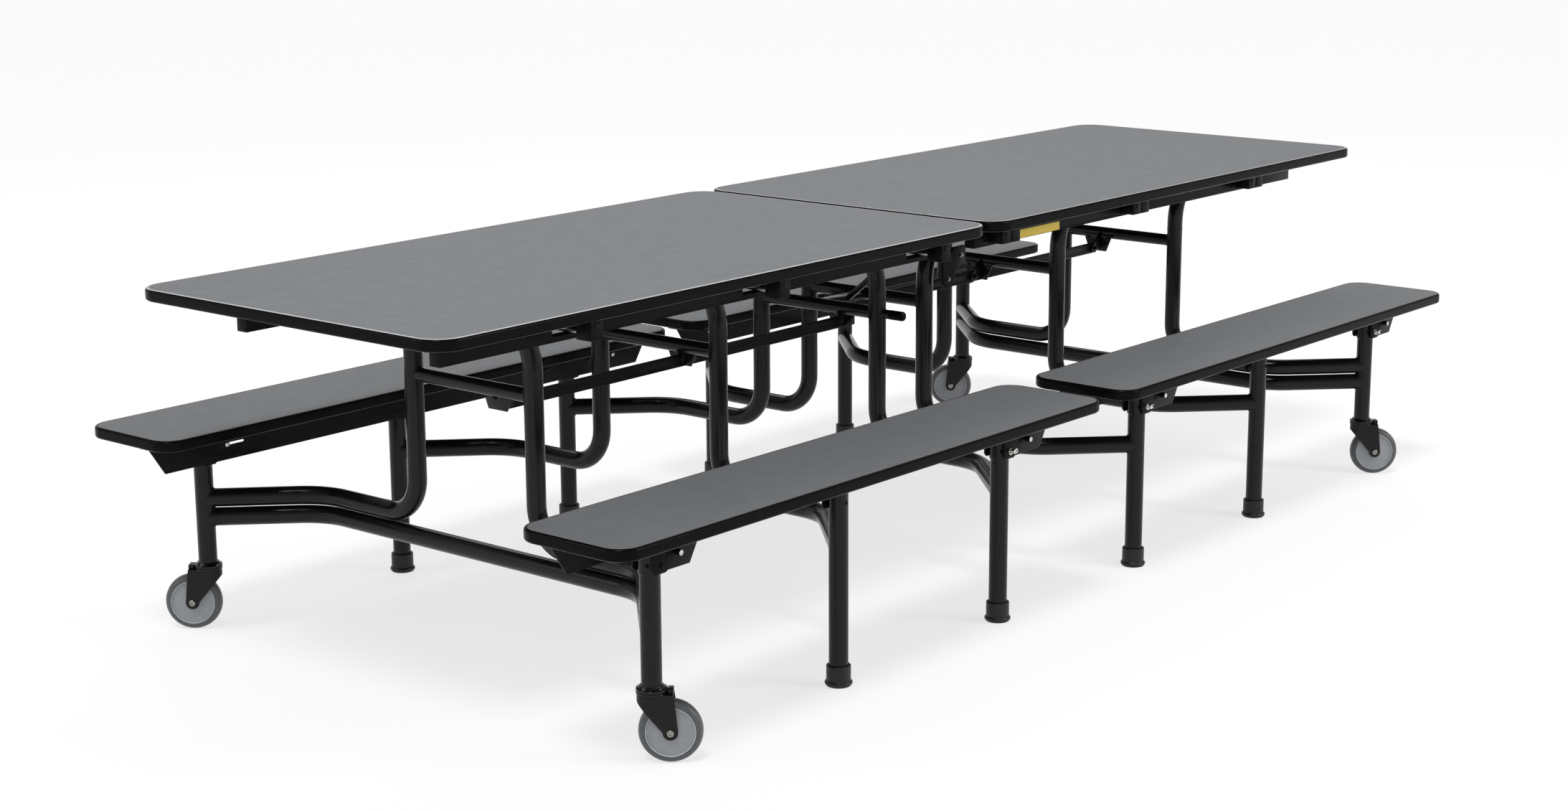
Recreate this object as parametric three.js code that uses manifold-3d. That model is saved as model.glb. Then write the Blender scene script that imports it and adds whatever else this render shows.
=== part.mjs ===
// Cafeteria folding table with four benches, open for use.
// Millimetres, +Z up, +X along the table, -Y is the front. The origin is on the floor, at the table's middle.
// The right half is built in this frame, and the left half is the same half turned round by 180 degrees.
import * as THREE from "three";
import { mergeVertices } from "three/addons/utils/BufferGeometryUtils.js";
import Module from "manifold-3d";

const wasm = await Module();
wasm.setup();

// Table leaves
const TABLE_HEIGHT = 737;
const LEAF_LENGTH = 1519;
const LEAF_WIDTH = 790;
const LEAF_GAP = 10;
const LEAF_THICKNESS = 22;
const LEAF_CORNER = 55;
const EDGE_BAND = 6;
const BULLNOSE = 5;

// Rails and pivot rods under each leaf. A rail's offset is from the leaf's middle line, and its setback from
// the leaf's outer end.
const RAILS = {
  left_front: { offset: 294, setback: 83 },
  left_rear: { offset: 190, setback: 76 },
  right_front: { offset: 294, setback: 171 },
  right_rear: { offset: 294, setback: 83 },
};
const RAIL_WIDTH = 25;
const RAIL_DEPTH = 45;
const RAIL_WALL = 3;
const RAIL_INNER_SETBACK = 46;
const WINDOW_LENGTH = 72;
const WINDOW_HEIGHT = 22;
const ROD_DIAMETER = 12;
const ROD_LONG_REACH = 378;
const ROD_SHORT_REACH = 346;
const BLOCK_LENGTH = 36;
const BLOCK_FRONT = 15;
const BLOCK_BACK = 49;
const BLOCK_SLIT = 3;
const BLOCK_SLIT_DEPTH = 12;
const BLOCK_DROP = 13;
const LEAF_PIVOT_DROP = 25;

// Leg frames
const STATION_NAMES = ["center", "mid", "end"];
const FIRST_STATION = 81;
const STATION_PITCH = 500;
const UPRIGHT_Y = 157;
const LEG_Y = 585;
const LEG_OUT = 165;
const TUBE_DIAMETER = 36;
const ARM_HEIGHT = 262;
const ARM_BEND = 75;
const PLAN_BEND = 130;
const HEAD_OUT = 63;
const HEAD_ANGLE = THREE.MathUtils.degToRad(50);
const HEAD_BEND = 120;
const HEAD_OVERHANG = 13;
const CROSS_DIAMETER = 27;
const CROSS_HEIGHT = 538;
const HANDLE_DIAMETER = 19;
const HANDLE_REACH = 70;
const TIE_WIDTH = 40;
const TIE_THICKNESS = 12;
const LOWER_TUBE_GAP = 2;
const COLLAR_WALL = 2;
const COLLAR_HEIGHT = 40;

// Link bars
const LINK_Y = 50;
const LINK_SETBACK = 42;
const LINK_DROP = 33;
const LINK_DEPTH = 25;
const LINK_THICKNESS = 6;
const LINK_TAIL = 15;
const LINK_PIN = 8;
const LINK_PIN_HEAD = 14;
const EAR_THICKNESS = 5;
const EAR_RADIUS = 11;
const PIN_HEAD_THICKNESS = 3;

// Benches
const SEAT_HEIGHT = 424;
const SEAT_LENGTH = 1392;
const SEAT_WIDTH = 245;
const SEAT_THICKNESS = 22;
const SEAT_START = 38;
const SEAT_SHIFT = 10.5;
const SEAT_CORNER = 45;
const APRON_DEPTH = 56;
const APRON_INSET = 70;
const APRON_SETBACK = 13;
const APRON_SLANT = 37;
const APRON_FLANGE = 26;
const APRON_SLOT_LENGTH = 40;
const APRON_SLOT_HEIGHT = 5;
const APRON_SLOT_DROP = 26;
const APRON_SLOT_BEFORE = 14;
const CHANNEL_WALL = 4;
const BENCH_PIVOT_DROP = 56;
const LEG_ABOVE_PIVOT = 22;
const BRACKET_HALF = 18;
const BRACKET_CHIN = 15;
const BRACKET_CUT = 6;
const TONGUE_REACH = { center: 100, end: 72 };
const TONGUE_SLANT = 38;
const TONGUE_DROP = 12;
const BENCH_PIN = 10;
const BRACKET_PLAY = 0.8;

// Feet
const GLIDE_HEIGHT = 40;
const GLIDE_FLOOR = 8;
const GLIDE_WALL = 3.5;
const GLIDE_FLARE = 3;
const CASTER_HEIGHT = 135;
const CASTER_TRAIL = 31;
const CASTER_ANGLE = THREE.MathUtils.degToRad(-50.6);
const WHEEL_DIAMETER = 110;
const WHEEL_WIDTH = 30;
const HUB_DIAMETER = 88;
const HUB_RECESS = 2.5;
const TREAD_ROUND = 6;
const AXLE_DIAMETER = 12;
const AXLE_END = 3;
const FORK_PLAY = 1.5;
const FORK_WALL = 3.5;
const FORK_EYE = 13;
const RACE_DIAMETER = 54;
const RACE_HEIGHT = 14;
const CROWN_HEIGHT = 8;
const CROWN_BACK = 26;
const CROWN_FRONT = 37;
const TAB_LENGTH = 12;
const TAB_HEIGHT = 16;

// Centre latch, a plate that swings on a stub pin on the right centre front upright
const LATCH_PIN = 8;
const LATCH_PIN_FORWARD = 15;
const LATCH_PIN_DROP = 126;
const LATCH_STANDOFF = 29;
const LATCH_THICKNESS = 5;
const LATCH_TONGUE = 19;
const LATCH_HALF = 19;
const LATCH_RISE = 66;
const LATCH_NOSE = 60;
const LATCH_NOSE_LOW = 28;
const LATCH_NOSE_BACK = 16;
const LATCH_SHOULDER = 20;
const LATCH_CHAMFER = 10;
const LATCH_NOSE_CHAMFER = 5;
const LATCH_PIN_END = 4;

// Clearances, the lap between welded pieces, and facets
const GAP = 0.3;
const WELD_LAP = 1;
const TUBE_SIDES = 8;
const GLIDE_SIDES = 10;
const RACE_SIDES = 12;
const PIN_SIDES = 8;
const WHEEL_SIDES = 20;
const CORNER_STEPS = 3;
const BEND_STEP = THREE.MathUtils.degToRad(20);

// Heights and places that follow from the sizes above
const LEAF_UNDERSIDE = TABLE_HEIGHT - LEAF_THICKNESS;
const LEAF_PIVOT_Z = LEAF_UNDERSIDE - LEAF_PIVOT_DROP;
const LEAF_START = LEAF_GAP / 2;
const SEAT_UNDERSIDE = SEAT_HEIGHT - SEAT_THICKNESS;
const SEAT_Y = LEG_Y - SEAT_SHIFT;
const BENCH_PIVOT_Z = SEAT_UNDERSIDE - BENCH_PIVOT_DROP;
const LEG_TOP = BENCH_PIVOT_Z + LEG_ABOVE_PIVOT;
const TUBE_RADIUS = TUBE_DIAMETER / 2;
const COLLAR_RADIUS = TUBE_RADIUS + COLLAR_WALL;
const LINK_Z = CROSS_HEIGHT - LINK_DROP;
const LOWER_TUBE_Z = ARM_HEIGHT - TUBE_DIAMETER - LOWER_TUBE_GAP;
const STATIONS = STATION_NAMES.map((name, i) => ({ name, x: FIRST_STATION + i * STATION_PITCH }));

// Finishes
const FINISHES = {
  laminate: { color: 0x6c6d70, roughness: 0.55, metalness: 0 },
  edge: { color: 0x17181a, roughness: 0.38, metalness: 0 },
  frame: { color: 0x1d1d1e, roughness: 0.35, metalness: 0.4 },
  zinc: { color: 0xc9c7c2, roughness: 0.3, metalness: 0.9 },
  glide: { color: 0x141516, roughness: 0.5, metalness: 0 },
  fork: { color: 0x151516, roughness: 0.32, metalness: 0.3 },
  wheel: { color: 0x66686c, roughness: 0.5, metalness: 0 },
};

// A closed geometry as a solid for joining and cutting.
function solid(geometry) {
  const loose = geometry.index ? geometry.toNonIndexed() : geometry.clone();
  loose.deleteAttribute("normal");
  loose.deleteAttribute("uv");
  const merged = mergeVertices(loose, 1e-4);
  return new wasm.Manifold(
    new wasm.Mesh({
      numProp: 3,
      vertProperties: merged.attributes.position.array,
      triVerts: new Uint32Array(merged.index.array),
    }),
  );
}

function geometryOf(body) {
  const mesh = body.getMesh();
  const geometry = new THREE.BufferGeometry();
  geometry.setAttribute("position", new THREE.BufferAttribute(mesh.vertProperties, 3));
  geometry.setIndex(new THREE.BufferAttribute(mesh.triVerts, 1));
  const faceted = geometry.toNonIndexed();
  faceted.computeVertexNormals();
  return faceted;
}

const joined = (...bodies) => bodies.reduce((sum, body) => sum.add(body));
const cut = (body, ...tools) => tools.reduce((rest, tool) => rest.subtract(tool), body);

function mesh(name, body, finish) {
  const made = new THREE.Mesh(geometryOf(body), new THREE.MeshStandardMaterial(FINISHES[finish]));
  made.name = name;
  return made;
}

// A round hole's corner radius, so that its flats clear a shaft of the given diameter.
const holeRadius = (diameter, sides) => (diameter / 2 + GAP) / Math.cos(Math.PI / sides);

// A socket's corner radius round a tube that stays still in it, with flats along the tube's own flats.
const socketRadius = (diameter, sides) => diameter / 2 + GAP / Math.cos(Math.PI / sides);

function boxBetween(low, high) {
  const size = high.map((v, i) => v - low[i]);
  const middle = high.map((v, i) => (v + low[i]) / 2);
  return solid(new THREE.BoxGeometry(...size).translate(...middle));
}

function upright(radius, sides, x, y, z0, z1) {
  const shaft = new THREE.CylinderGeometry(radius, radius, z1 - z0, sides);
  return solid(shaft.rotateX(Math.PI / 2).translate(x, y, (z0 + z1) / 2));
}

function shaftY(radius, sides, x, y0, y1, z) {
  const shaft = new THREE.CylinderGeometry(radius, radius, y1 - y0, sides);
  return solid(shaft.translate(x, (y0 + y1) / 2, z));
}

// A plate cut to an outline of [x, z] points, standing between two y values.
function plateY(points, y0, y1) {
  const shape = new THREE.Shape(points.map(([x, z]) => new THREE.Vector2(x, z)));
  const plate = new THREE.ExtrudeGeometry(shape, { depth: y1 - y0, bevelEnabled: false });
  return solid(plate.rotateX(Math.PI / 2).translate(0, y1, 0));
}

// The outline of a strap with round ends about two [x, z] centres.
function strap([x0, z0], [x1, z1], radius) {
  const along = Math.atan2(z1 - z0, x1 - x0);
  const steps = [-2, -1, 0, 1, 2].map((i) => (i * Math.PI) / 4);
  const round = (x, z, middle) =>
    steps.map((a) => [x + radius * Math.cos(middle + a), z + radius * Math.sin(middle + a)]);
  return [...round(x1, z1, along), ...round(x0, z0, along + Math.PI)];
}

function roundedRectangle(x0, x1, y0, y1, radius) {
  const shape = new THREE.Shape();
  shape.absarc(x1 - radius, y1 - radius, radius, 0, Math.PI / 2);
  shape.absarc(x0 + radius, y1 - radius, radius, Math.PI / 2, Math.PI);
  shape.absarc(x0 + radius, y0 + radius, radius, Math.PI, 1.5 * Math.PI);
  shape.absarc(x1 - radius, y0 + radius, radius, 1.5 * Math.PI, 2 * Math.PI);
  return shape;
}

// A board with rounded corners in plan and a bullnose edge all round.
function board(x0, x1, y0, y1, top, thickness, corner) {
  const shape = roundedRectangle(
    x0 + BULLNOSE, x1 - BULLNOSE, y0 + BULLNOSE, y1 - BULLNOSE, corner - BULLNOSE);
  const options = {
    depth: thickness - 2 * BULLNOSE,
    bevelSize: BULLNOSE,
    bevelThickness: BULLNOSE,
    bevelSegments: 2,
    curveSegments: CORNER_STEPS,
  };
  return solid(new THREE.ExtrudeGeometry(shape, options).translate(0, 0, top - thickness + BULLNOSE));
}

// A run of tube as a curve: straight between its corners, with rings only at its ends and round its bends.
class TubeRun extends THREE.Curve {
  constructor(corners, bends) {
    super();
    this.rings = [{ at: corners[0], along: corners[1].clone().sub(corners[0]).normalize() }];
    bends.forEach((radius, i) => this.bend(corners[i], corners[i + 1], corners[i + 2], radius));
    const last = corners[corners.length - 1];
    this.rings.push({ at: last, along: last.clone().sub(corners[corners.length - 2]).normalize() });
  }

  bend(before, corner, after, radius) {
    const into = corner.clone().sub(before).normalize();
    const out = after.clone().sub(corner).normalize();
    const turn = into.angleTo(out);
    const start = corner.clone().addScaledVector(into, -radius * Math.tan(turn / 2));
    const side = out.clone().addScaledVector(into, -into.dot(out)).normalize();
    const steps = Math.max(2, Math.round(turn / BEND_STEP));
    for (let i = 0; i <= steps; i += 1) {
      const angle = (turn * i) / steps;
      const at = start.clone().addScaledVector(into, radius * Math.sin(angle));
      at.addScaledVector(side, radius * (1 - Math.cos(angle)));
      const along = into.clone().multiplyScalar(Math.cos(angle)).addScaledVector(side, Math.sin(angle));
      this.rings.push({ at, along });
    }
  }

  ring(u) {
    return this.rings[Math.round(u * (this.rings.length - 1))];
  }

  getPoint(u) {
    return this.ring(u).at.clone();
  }

  getPointAt(u) {
    return this.getPoint(u);
  }

  getTangentAt(u) {
    return this.ring(u).along.clone();
  }
}

function tube(corners, bends, diameter) {
  const run = new TubeRun(corners.map((p) => new THREE.Vector3(...p)), bends);
  const section = new THREE.Shape();
  section.absarc(0, 0, diameter / 2, 0, 2 * Math.PI);
  const options = {
    extrudePath: run,
    steps: run.rings.length - 1,
    curveSegments: TUBE_SIDES / 2,
    bevelEnabled: false,
  };
  return solid(new THREE.ExtrudeGeometry(section, options));
}

// Table leaf: board, edge band, rails and pivot rods
function leafBoard() {
  const inset = EDGE_BAND + GAP;
  const half = LEAF_WIDTH / 2;
  const shape = roundedRectangle(
    LEAF_START + inset, LEAF_START + LEAF_LENGTH - inset, inset - half, half - inset, LEAF_CORNER - inset);
  const options = { depth: LEAF_THICKNESS, bevelEnabled: false, curveSegments: CORNER_STEPS };
  return solid(new THREE.ExtrudeGeometry(shape, options).translate(0, 0, LEAF_UNDERSIDE));
}

function leafEdge() {
  const half = LEAF_WIDTH / 2;
  const full = board(
    LEAF_START, LEAF_START + LEAF_LENGTH, -half, half, TABLE_HEIGHT, LEAF_THICKNESS, LEAF_CORNER);
  const opening = roundedRectangle(LEAF_START + EDGE_BAND, LEAF_START + LEAF_LENGTH - EDGE_BAND,
    EDGE_BAND - half, half - EDGE_BAND, LEAF_CORNER - EDGE_BAND);
  const options = { depth: 3 * LEAF_THICKNESS, bevelEnabled: false, curveSegments: CORNER_STEPS };
  const punch = new THREE.ExtrudeGeometry(opening, options);
  return cut(full, solid(punch.translate(0, 0, LEAF_UNDERSIDE - LEAF_THICKNESS)));
}

// A rail is a trough with closed ends, its open side up against the leaf, and a window round each pivot rod.
function rail(side, { offset, setback }) {
  const x0 = LEAF_START + RAIL_INNER_SETBACK;
  const x1 = LEAF_START + LEAF_LENGTH - setback;
  const top = LEAF_UNDERSIDE - GAP;
  const bottom = top - RAIL_DEPTH;
  const low = side * offset - RAIL_WIDTH / 2;
  const high = side * offset + RAIL_WIDTH / 2;
  const bar = boxBetween([x0, low, bottom], [x1, high, top]);
  const hollow = boxBetween([x0 + RAIL_WALL, low + RAIL_WALL, bottom + RAIL_WALL],
    [x1 - RAIL_WALL, high - RAIL_WALL, top + RAIL_WALL]);
  const windows = STATIONS.map(({ x }) => boxBetween(
    [x + HEAD_OUT - WINDOW_LENGTH / 2, low - RAIL_WALL, LEAF_PIVOT_Z - WINDOW_HEIGHT / 2],
    [x + HEAD_OUT + WINDOW_LENGTH / 2, high + RAIL_WALL, LEAF_PIVOT_Z + WINDOW_HEIGHT / 2]));
  return cut(bar, hollow, ...windows);
}

// A pivot rod with a wide slit bearing block at one end and a narrow plain one at the other.
function pivotRod({ x }) {
  const pivot = x + HEAD_OUT;
  const low = LEAF_PIVOT_Z - BLOCK_DROP;
  const high = LEAF_UNDERSIDE - GAP;
  const slitX = pivot - BLOCK_FRONT - BLOCK_SLIT;
  const wideBlock = cut(
    boxBetween([pivot - BLOCK_BACK, -ROD_SHORT_REACH, low],
      [pivot + BLOCK_FRONT, BLOCK_LENGTH - ROD_SHORT_REACH, high]),
    boxBetween([slitX, -ROD_SHORT_REACH - BLOCK_SLIT_DEPTH, low - GAP],
      [slitX + BLOCK_SLIT, BLOCK_SLIT_DEPTH - ROD_SHORT_REACH, high + GAP]));
  const narrowBlock = boxBetween([pivot - BLOCK_FRONT, ROD_LONG_REACH - BLOCK_LENGTH, low],
    [pivot + BLOCK_FRONT, ROD_LONG_REACH, high]);
  return joined(
    shaftY(ROD_DIAMETER / 2, PIN_SIDES, pivot,
      WELD_LAP - ROD_SHORT_REACH, ROD_LONG_REACH - WELD_LAP, LEAF_PIVOT_Z),
    wideBlock, narrowBlock);
}

// Leg frames: leg tubes, cross tubes and link bars
function legTube({ name, x }, side) {
  const legX = x + LEG_OUT;
  const legY = side * LEG_Y;
  const uprightY = side * UPRIGHT_Y;
  const pivot = x + HEAD_OUT;
  const reach = HEAD_OVERHANG;
  const arm = tube(
    [
      [legX, legY, ARM_HEIGHT],
      [x, side * (LEG_Y - LEG_OUT), ARM_HEIGHT],
      [x, uprightY, ARM_HEIGHT],
      [x, uprightY, LEAF_PIVOT_Z - HEAD_OUT / Math.tan(HEAD_ANGLE)],
      [pivot + reach * Math.sin(HEAD_ANGLE), uprightY, LEAF_PIVOT_Z + reach * Math.cos(HEAD_ANGLE)],
    ],
    [PLAN_BEND, ARM_BEND, HEAD_BEND],
    TUBE_DIAMETER,
  );
  const foot = name === "end" ? CASTER_HEIGHT : GLIDE_FLOOR;
  const pieces = [arm, upright(TUBE_RADIUS, TUBE_SIDES, legX, legY, foot, LEG_TOP)];
  if (name !== "mid") {
    pieces.push(upright(COLLAR_RADIUS, TUBE_SIDES, legX, legY, LEG_TOP - COLLAR_HEIGHT, LEG_TOP));
  }
  const rodHole = holeRadius(ROD_DIAMETER, PIN_SIDES);
  const pinHole = holeRadius(BENCH_PIN, PIN_SIDES);
  const holes = [
    shaftY(rodHole, PIN_SIDES, pivot, uprightY - TUBE_DIAMETER, uprightY + TUBE_DIAMETER, LEAF_PIVOT_Z),
    shaftY(pinHole, PIN_SIDES, legX, legY - TUBE_DIAMETER, legY + TUBE_DIAMETER, BENCH_PIVOT_Z),
  ];
  if (name === "center" && side > 0) {
    const handleHole = socketRadius(HANDLE_DIAMETER, TUBE_SIDES);
    holes.push(shaftY(
      handleHole, TUBE_SIDES, x, uprightY - TUBE_DIAMETER, uprightY + TUBE_DIAMETER, CROSS_HEIGHT));
  }
  return cut(joined(...pieces), ...holes);
}

// The ear and pin on a cross tube that carry the link bar.
function linkEar({ x }) {
  const pinX = x - LINK_SETBACK;
  const earHigh = LINK_Y - LINK_THICKNESS / 2 - GAP;
  const earLow = earHigh - EAR_THICKNESS;
  const headLow = LINK_Y + LINK_THICKNESS / 2 + GAP;
  const headHigh = headLow + PIN_HEAD_THICKNESS;
  return joined(
    plateY(strap([x, CROSS_HEIGHT], [pinX, LINK_Z], EAR_RADIUS), earLow, earHigh),
    shaftY(LINK_PIN / 2, PIN_SIDES, pinX, earHigh - WELD_LAP, headHigh - WELD_LAP, LINK_Z),
    shaftY(LINK_PIN_HEAD / 2, PIN_SIDES, pinX, headLow, headHigh, LINK_Z));
}

// A cross tube between two uprights, saddled round them.
function crossTube(station) {
  const bar = shaftY(CROSS_DIAMETER / 2, TUBE_SIDES, station.x, -UPRIGHT_Y, UPRIGHT_Y, CROSS_HEIGHT);
  const saddles = [-UPRIGHT_Y, UPRIGHT_Y].map((y) => upright(
    socketRadius(TUBE_DIAMETER, TUBE_SIDES), TUBE_SIDES, station.x, y,
    CROSS_HEIGHT - CROSS_DIAMETER, CROSS_HEIGHT + CROSS_DIAMETER));
  return joined(cut(bar, ...saddles), linkEar(station));
}

// The two centre cross tubes with their tie, each with a handle rod that runs on through one upright.
function centreCrossFrame() {
  const root = UPRIGHT_Y - TUBE_DIAMETER;
  const handle = shaftY(
    HANDLE_DIAMETER / 2, TUBE_SIDES, FIRST_STATION, root, UPRIGHT_Y + HANDLE_REACH, CROSS_HEIGHT);
  const bar = joined(crossTube(STATIONS[0]), handle);
  const turned = solid(geometryOf(bar).rotateZ(Math.PI));
  const tie = boxBetween(
    [-FIRST_STATION, -TIE_WIDTH / 2, CROSS_HEIGHT - TIE_THICKNESS / 2],
    [FIRST_STATION, TIE_WIDTH / 2, CROSS_HEIGHT + TIE_THICKNESS / 2]);
  return joined(bar, turned, tie);
}

function lowerTube({ x }) {
  const legX = x + LEG_OUT;
  const inner = LEG_Y - LEG_OUT;
  const run = tube(
    [
      [legX, -LEG_Y, LOWER_TUBE_Z],
      [x, -inner, LOWER_TUBE_Z],
      [x, inner, LOWER_TUBE_Z],
      [legX, LEG_Y, LOWER_TUBE_Z],
    ],
    [PLAN_BEND, PLAN_BEND],
    TUBE_DIAMETER,
  );
  const saddles = [-LEG_Y, LEG_Y].map((y) => upright(
    socketRadius(TUBE_DIAMETER, TUBE_SIDES), TUBE_SIDES, legX, y,
    LOWER_TUBE_Z - TUBE_DIAMETER, LOWER_TUBE_Z + TUBE_DIAMETER));
  return cut(run, ...saddles);
}

function linkBar() {
  const pins = STATIONS.map(({ x }) => x - LINK_SETBACK);
  const bar = boxBetween(
    [pins[0] - LINK_TAIL, LINK_Y - LINK_THICKNESS / 2, LINK_Z - LINK_DEPTH / 2],
    [pins[pins.length - 1] + LINK_TAIL, LINK_Y + LINK_THICKNESS / 2, LINK_Z + LINK_DEPTH / 2]);
  const hole = holeRadius(LINK_PIN, PIN_SIDES);
  const holes = pins.map((x) => shaftY(
    hole, PIN_SIDES, x, LINK_Y - LINK_THICKNESS, LINK_Y + LINK_THICKNESS, LINK_Z));
  return cut(bar, ...holes);
}

// Benches: seat boards and the steel channel that hangs each one on its three legs
function seat(side) {
  const middle = side * SEAT_Y;
  return board(SEAT_START, SEAT_START + SEAT_LENGTH, middle - SEAT_WIDTH / 2, middle + SEAT_WIDTH / 2,
    SEAT_HEIGHT, SEAT_THICKNESS, SEAT_CORNER);
}

// One bracket cheek about a leg. On the end and centre legs of a front bench the outer cheek carries on as a
// tongue.
function bracketCheek({ name, x }, side, tongued) {
  const legX = x + LEG_OUT;
  const top = SEAT_UNDERSIDE - GAP - CHANNEL_WALL / 2;
  const chin = BENCH_PIVOT_Z - BRACKET_CHIN;
  const tongueLow = BENCH_PIVOT_Z - TONGUE_DROP;
  const half = BRACKET_HALF;
  const end = tongued
    ? [[half, tongueLow], [TONGUE_REACH[name], tongueLow], [TONGUE_REACH[name] + TONGUE_SLANT, top]]
    : [[half, chin + BRACKET_CUT], [half, top]];
  const outline = [[-half, top], [-half, chin + BRACKET_CUT], [BRACKET_CUT - half, chin],
    [half - BRACKET_CUT, chin], ...end];
  return outline.map(([along, z]) => [legX - side * along, z]);
}

function benchChannel(side, front) {
  const x0 = SEAT_START + APRON_SETBACK;
  const x1 = SEAT_START + SEAT_LENGTH - APRON_SETBACK;
  const top = SEAT_UNDERSIDE - GAP;
  const apronOutline = [[x0, top], [x0 + APRON_SLANT, top - APRON_DEPTH],
    [x1 - APRON_SLANT, top - APRON_DEPTH], [x1, top]];
  const between = (a, b) => [side * a, side * b].sort((p, q) => p - q);
  const apronFace = SEAT_Y - SEAT_WIDTH / 2 + APRON_INSET;
  const [flangeLow, flangeHigh] = between(apronFace, apronFace + APRON_FLANGE);
  const pieces = [
    plateY(apronOutline, ...between(apronFace, apronFace + CHANNEL_WALL)),
    boxBetween([x0, flangeLow, top - CHANNEL_WALL], [x1, flangeHigh, top]),
  ];
  const cheekInner = COLLAR_RADIUS + BRACKET_PLAY;
  const cheekOuter = cheekInner + CHANNEL_WALL;
  for (const station of STATIONS) {
    const legX = station.x + LEG_OUT;
    const outerCheek = station.name in TONGUE_REACH;
    const tongued = outerCheek && front;
    const reach = tongued ? TONGUE_REACH[station.name] + TONGUE_SLANT : BRACKET_HALF;
    const outside = outerCheek ? cheekOuter : TUBE_RADIUS;
    const [padLow, padHigh] = [legX + side * BRACKET_HALF, legX - side * reach].sort((a, b) => a - b);
    const [plateLow, plateHigh] = between(apronFace, LEG_Y + outside);
    const [pinLow, pinHigh] = between(LEG_Y - cheekOuter + WELD_LAP, LEG_Y + outside - WELD_LAP);
    pieces.push(
      boxBetween([padLow, plateLow, top - CHANNEL_WALL], [padHigh, plateHigh, top]),
      plateY(bracketCheek(station, side, false), ...between(LEG_Y - cheekOuter, LEG_Y - cheekInner)),
      shaftY(BENCH_PIN / 2, PIN_SIDES, legX, pinLow, pinHigh, BENCH_PIVOT_Z));
    if (outerCheek) {
      pieces.push(
        plateY(bracketCheek(station, side, tongued), ...between(LEG_Y + cheekInner, LEG_Y + cheekOuter)));
    }
  }
  const slotX = STATIONS[STATIONS.length - 1].x + LEG_OUT - APRON_SLOT_BEFORE;
  const slotZ = SEAT_UNDERSIDE - APRON_SLOT_DROP;
  const [slotLow, slotHigh] = between(apronFace - CHANNEL_WALL, apronFace + 2 * CHANNEL_WALL);
  const slot = boxBetween([slotX - APRON_SLOT_LENGTH, slotLow, slotZ - APRON_SLOT_HEIGHT / 2],
    [slotX, slotHigh, slotZ + APRON_SLOT_HEIGHT / 2]);
  return cut(joined(...pieces), slot);
}

// Feet: glides and casters
function revolved(profile, sides) {
  return new THREE.LatheGeometry(profile.map(([r, h]) => new THREE.Vector2(r, h)), sides);
}

function glide({ x }, side) {
  const bore = holeRadius(TUBE_DIAMETER, GLIDE_SIDES);
  const wall = bore + GLIDE_WALL;
  const flare = wall + GLIDE_FLARE;
  const profile = [
    [0, 0],
    [wall, 0],
    [flare, GLIDE_FLOOR / 2],
    [flare, GLIDE_FLOOR],
    [wall, GLIDE_FLOOR + GLIDE_FLARE],
    [wall, GLIDE_HEIGHT],
    [bore, GLIDE_HEIGHT],
    [bore, GLIDE_FLOOR - GAP],
    [0, GLIDE_FLOOR - GAP],
  ];
  return solid(revolved(profile, GLIDE_SIDES).rotateX(Math.PI / 2).translate(x + LEG_OUT, side * LEG_Y, 0));
}

// A caster in its own frame: the swivel axis is Z, the wheel trails along +X and turns about Y.
const FORK_INNER = WHEEL_WIDTH / 2 + FORK_PLAY;
const FORK_OUTER = FORK_INNER + FORK_WALL;
const AXLE_Z = WHEEL_DIAMETER / 2;

function casterWheel() {
  const bore = holeRadius(AXLE_DIAMETER, PIN_SIDES);
  const rim = WHEEL_DIAMETER / 2;
  const half = WHEEL_WIDTH / 2;
  const boss = bore + FORK_WALL;
  const hub = HUB_DIAMETER / 2;
  const face = half - HUB_RECESS;
  const upper = [
    [rim, half - TREAD_ROUND],
    [rim - TREAD_ROUND, half],
    [hub, half],
    [hub - HUB_RECESS, face],
    [boss, face],
    [bore, half],
  ];
  const lower = upper.map(([r, h]) => [r, -h]).reverse();
  const profile = [...lower, ...upper, lower[0]];
  return solid(revolved(profile, WHEEL_SIDES).translate(CASTER_TRAIL, 0, AXLE_Z));
}

function casterFork() {
  const top = CASTER_HEIGHT - GAP;
  const crownTop = top - RACE_HEIGHT + WELD_LAP;
  const crownLow = crownTop - CROWN_HEIGHT;
  const arc = [-3, -2, -1, 0, 1, 2, 3].map((i) => (i * Math.PI) / 6 - Math.PI / 2);
  const eye = arc.map((a) => [CASTER_TRAIL + FORK_EYE * Math.cos(a), AXLE_Z + FORK_EYE * Math.sin(a)]);
  const outline = [[-CROWN_BACK, crownTop], [-CROWN_BACK, crownLow], ...eye, [CROWN_FRONT, crownTop]];
  const tabTop = crownLow + TAB_HEIGHT;
  const axleReach = FORK_OUTER + AXLE_END;
  return joined(
    upright(RACE_DIAMETER / 2, RACE_SIDES, 0, 0, top - RACE_HEIGHT, top),
    boxBetween([-CROWN_BACK, -FORK_OUTER, crownLow], [CROWN_FRONT, FORK_OUTER, crownTop]),
    boxBetween([CROWN_FRONT - TAB_LENGTH, -FORK_OUTER, crownLow], [CROWN_FRONT, FORK_OUTER, tabTop]),
    plateY(outline, FORK_INNER, FORK_OUTER),
    plateY(outline, -FORK_OUTER, -FORK_INNER),
    shaftY(AXLE_DIAMETER / 2, PIN_SIDES, CASTER_TRAIL, -axleReach, axleReach, AXLE_Z));
}

// Centre latch and the stub pin that carries it
const LATCH_X = FIRST_STATION + LATCH_PIN_FORWARD;
const LATCH_Z = LEAF_UNDERSIDE - LATCH_PIN_DROP;
const LATCH_Y = -(UPRIGHT_Y + TUBE_RADIUS + LATCH_STANDOFF);

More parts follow.
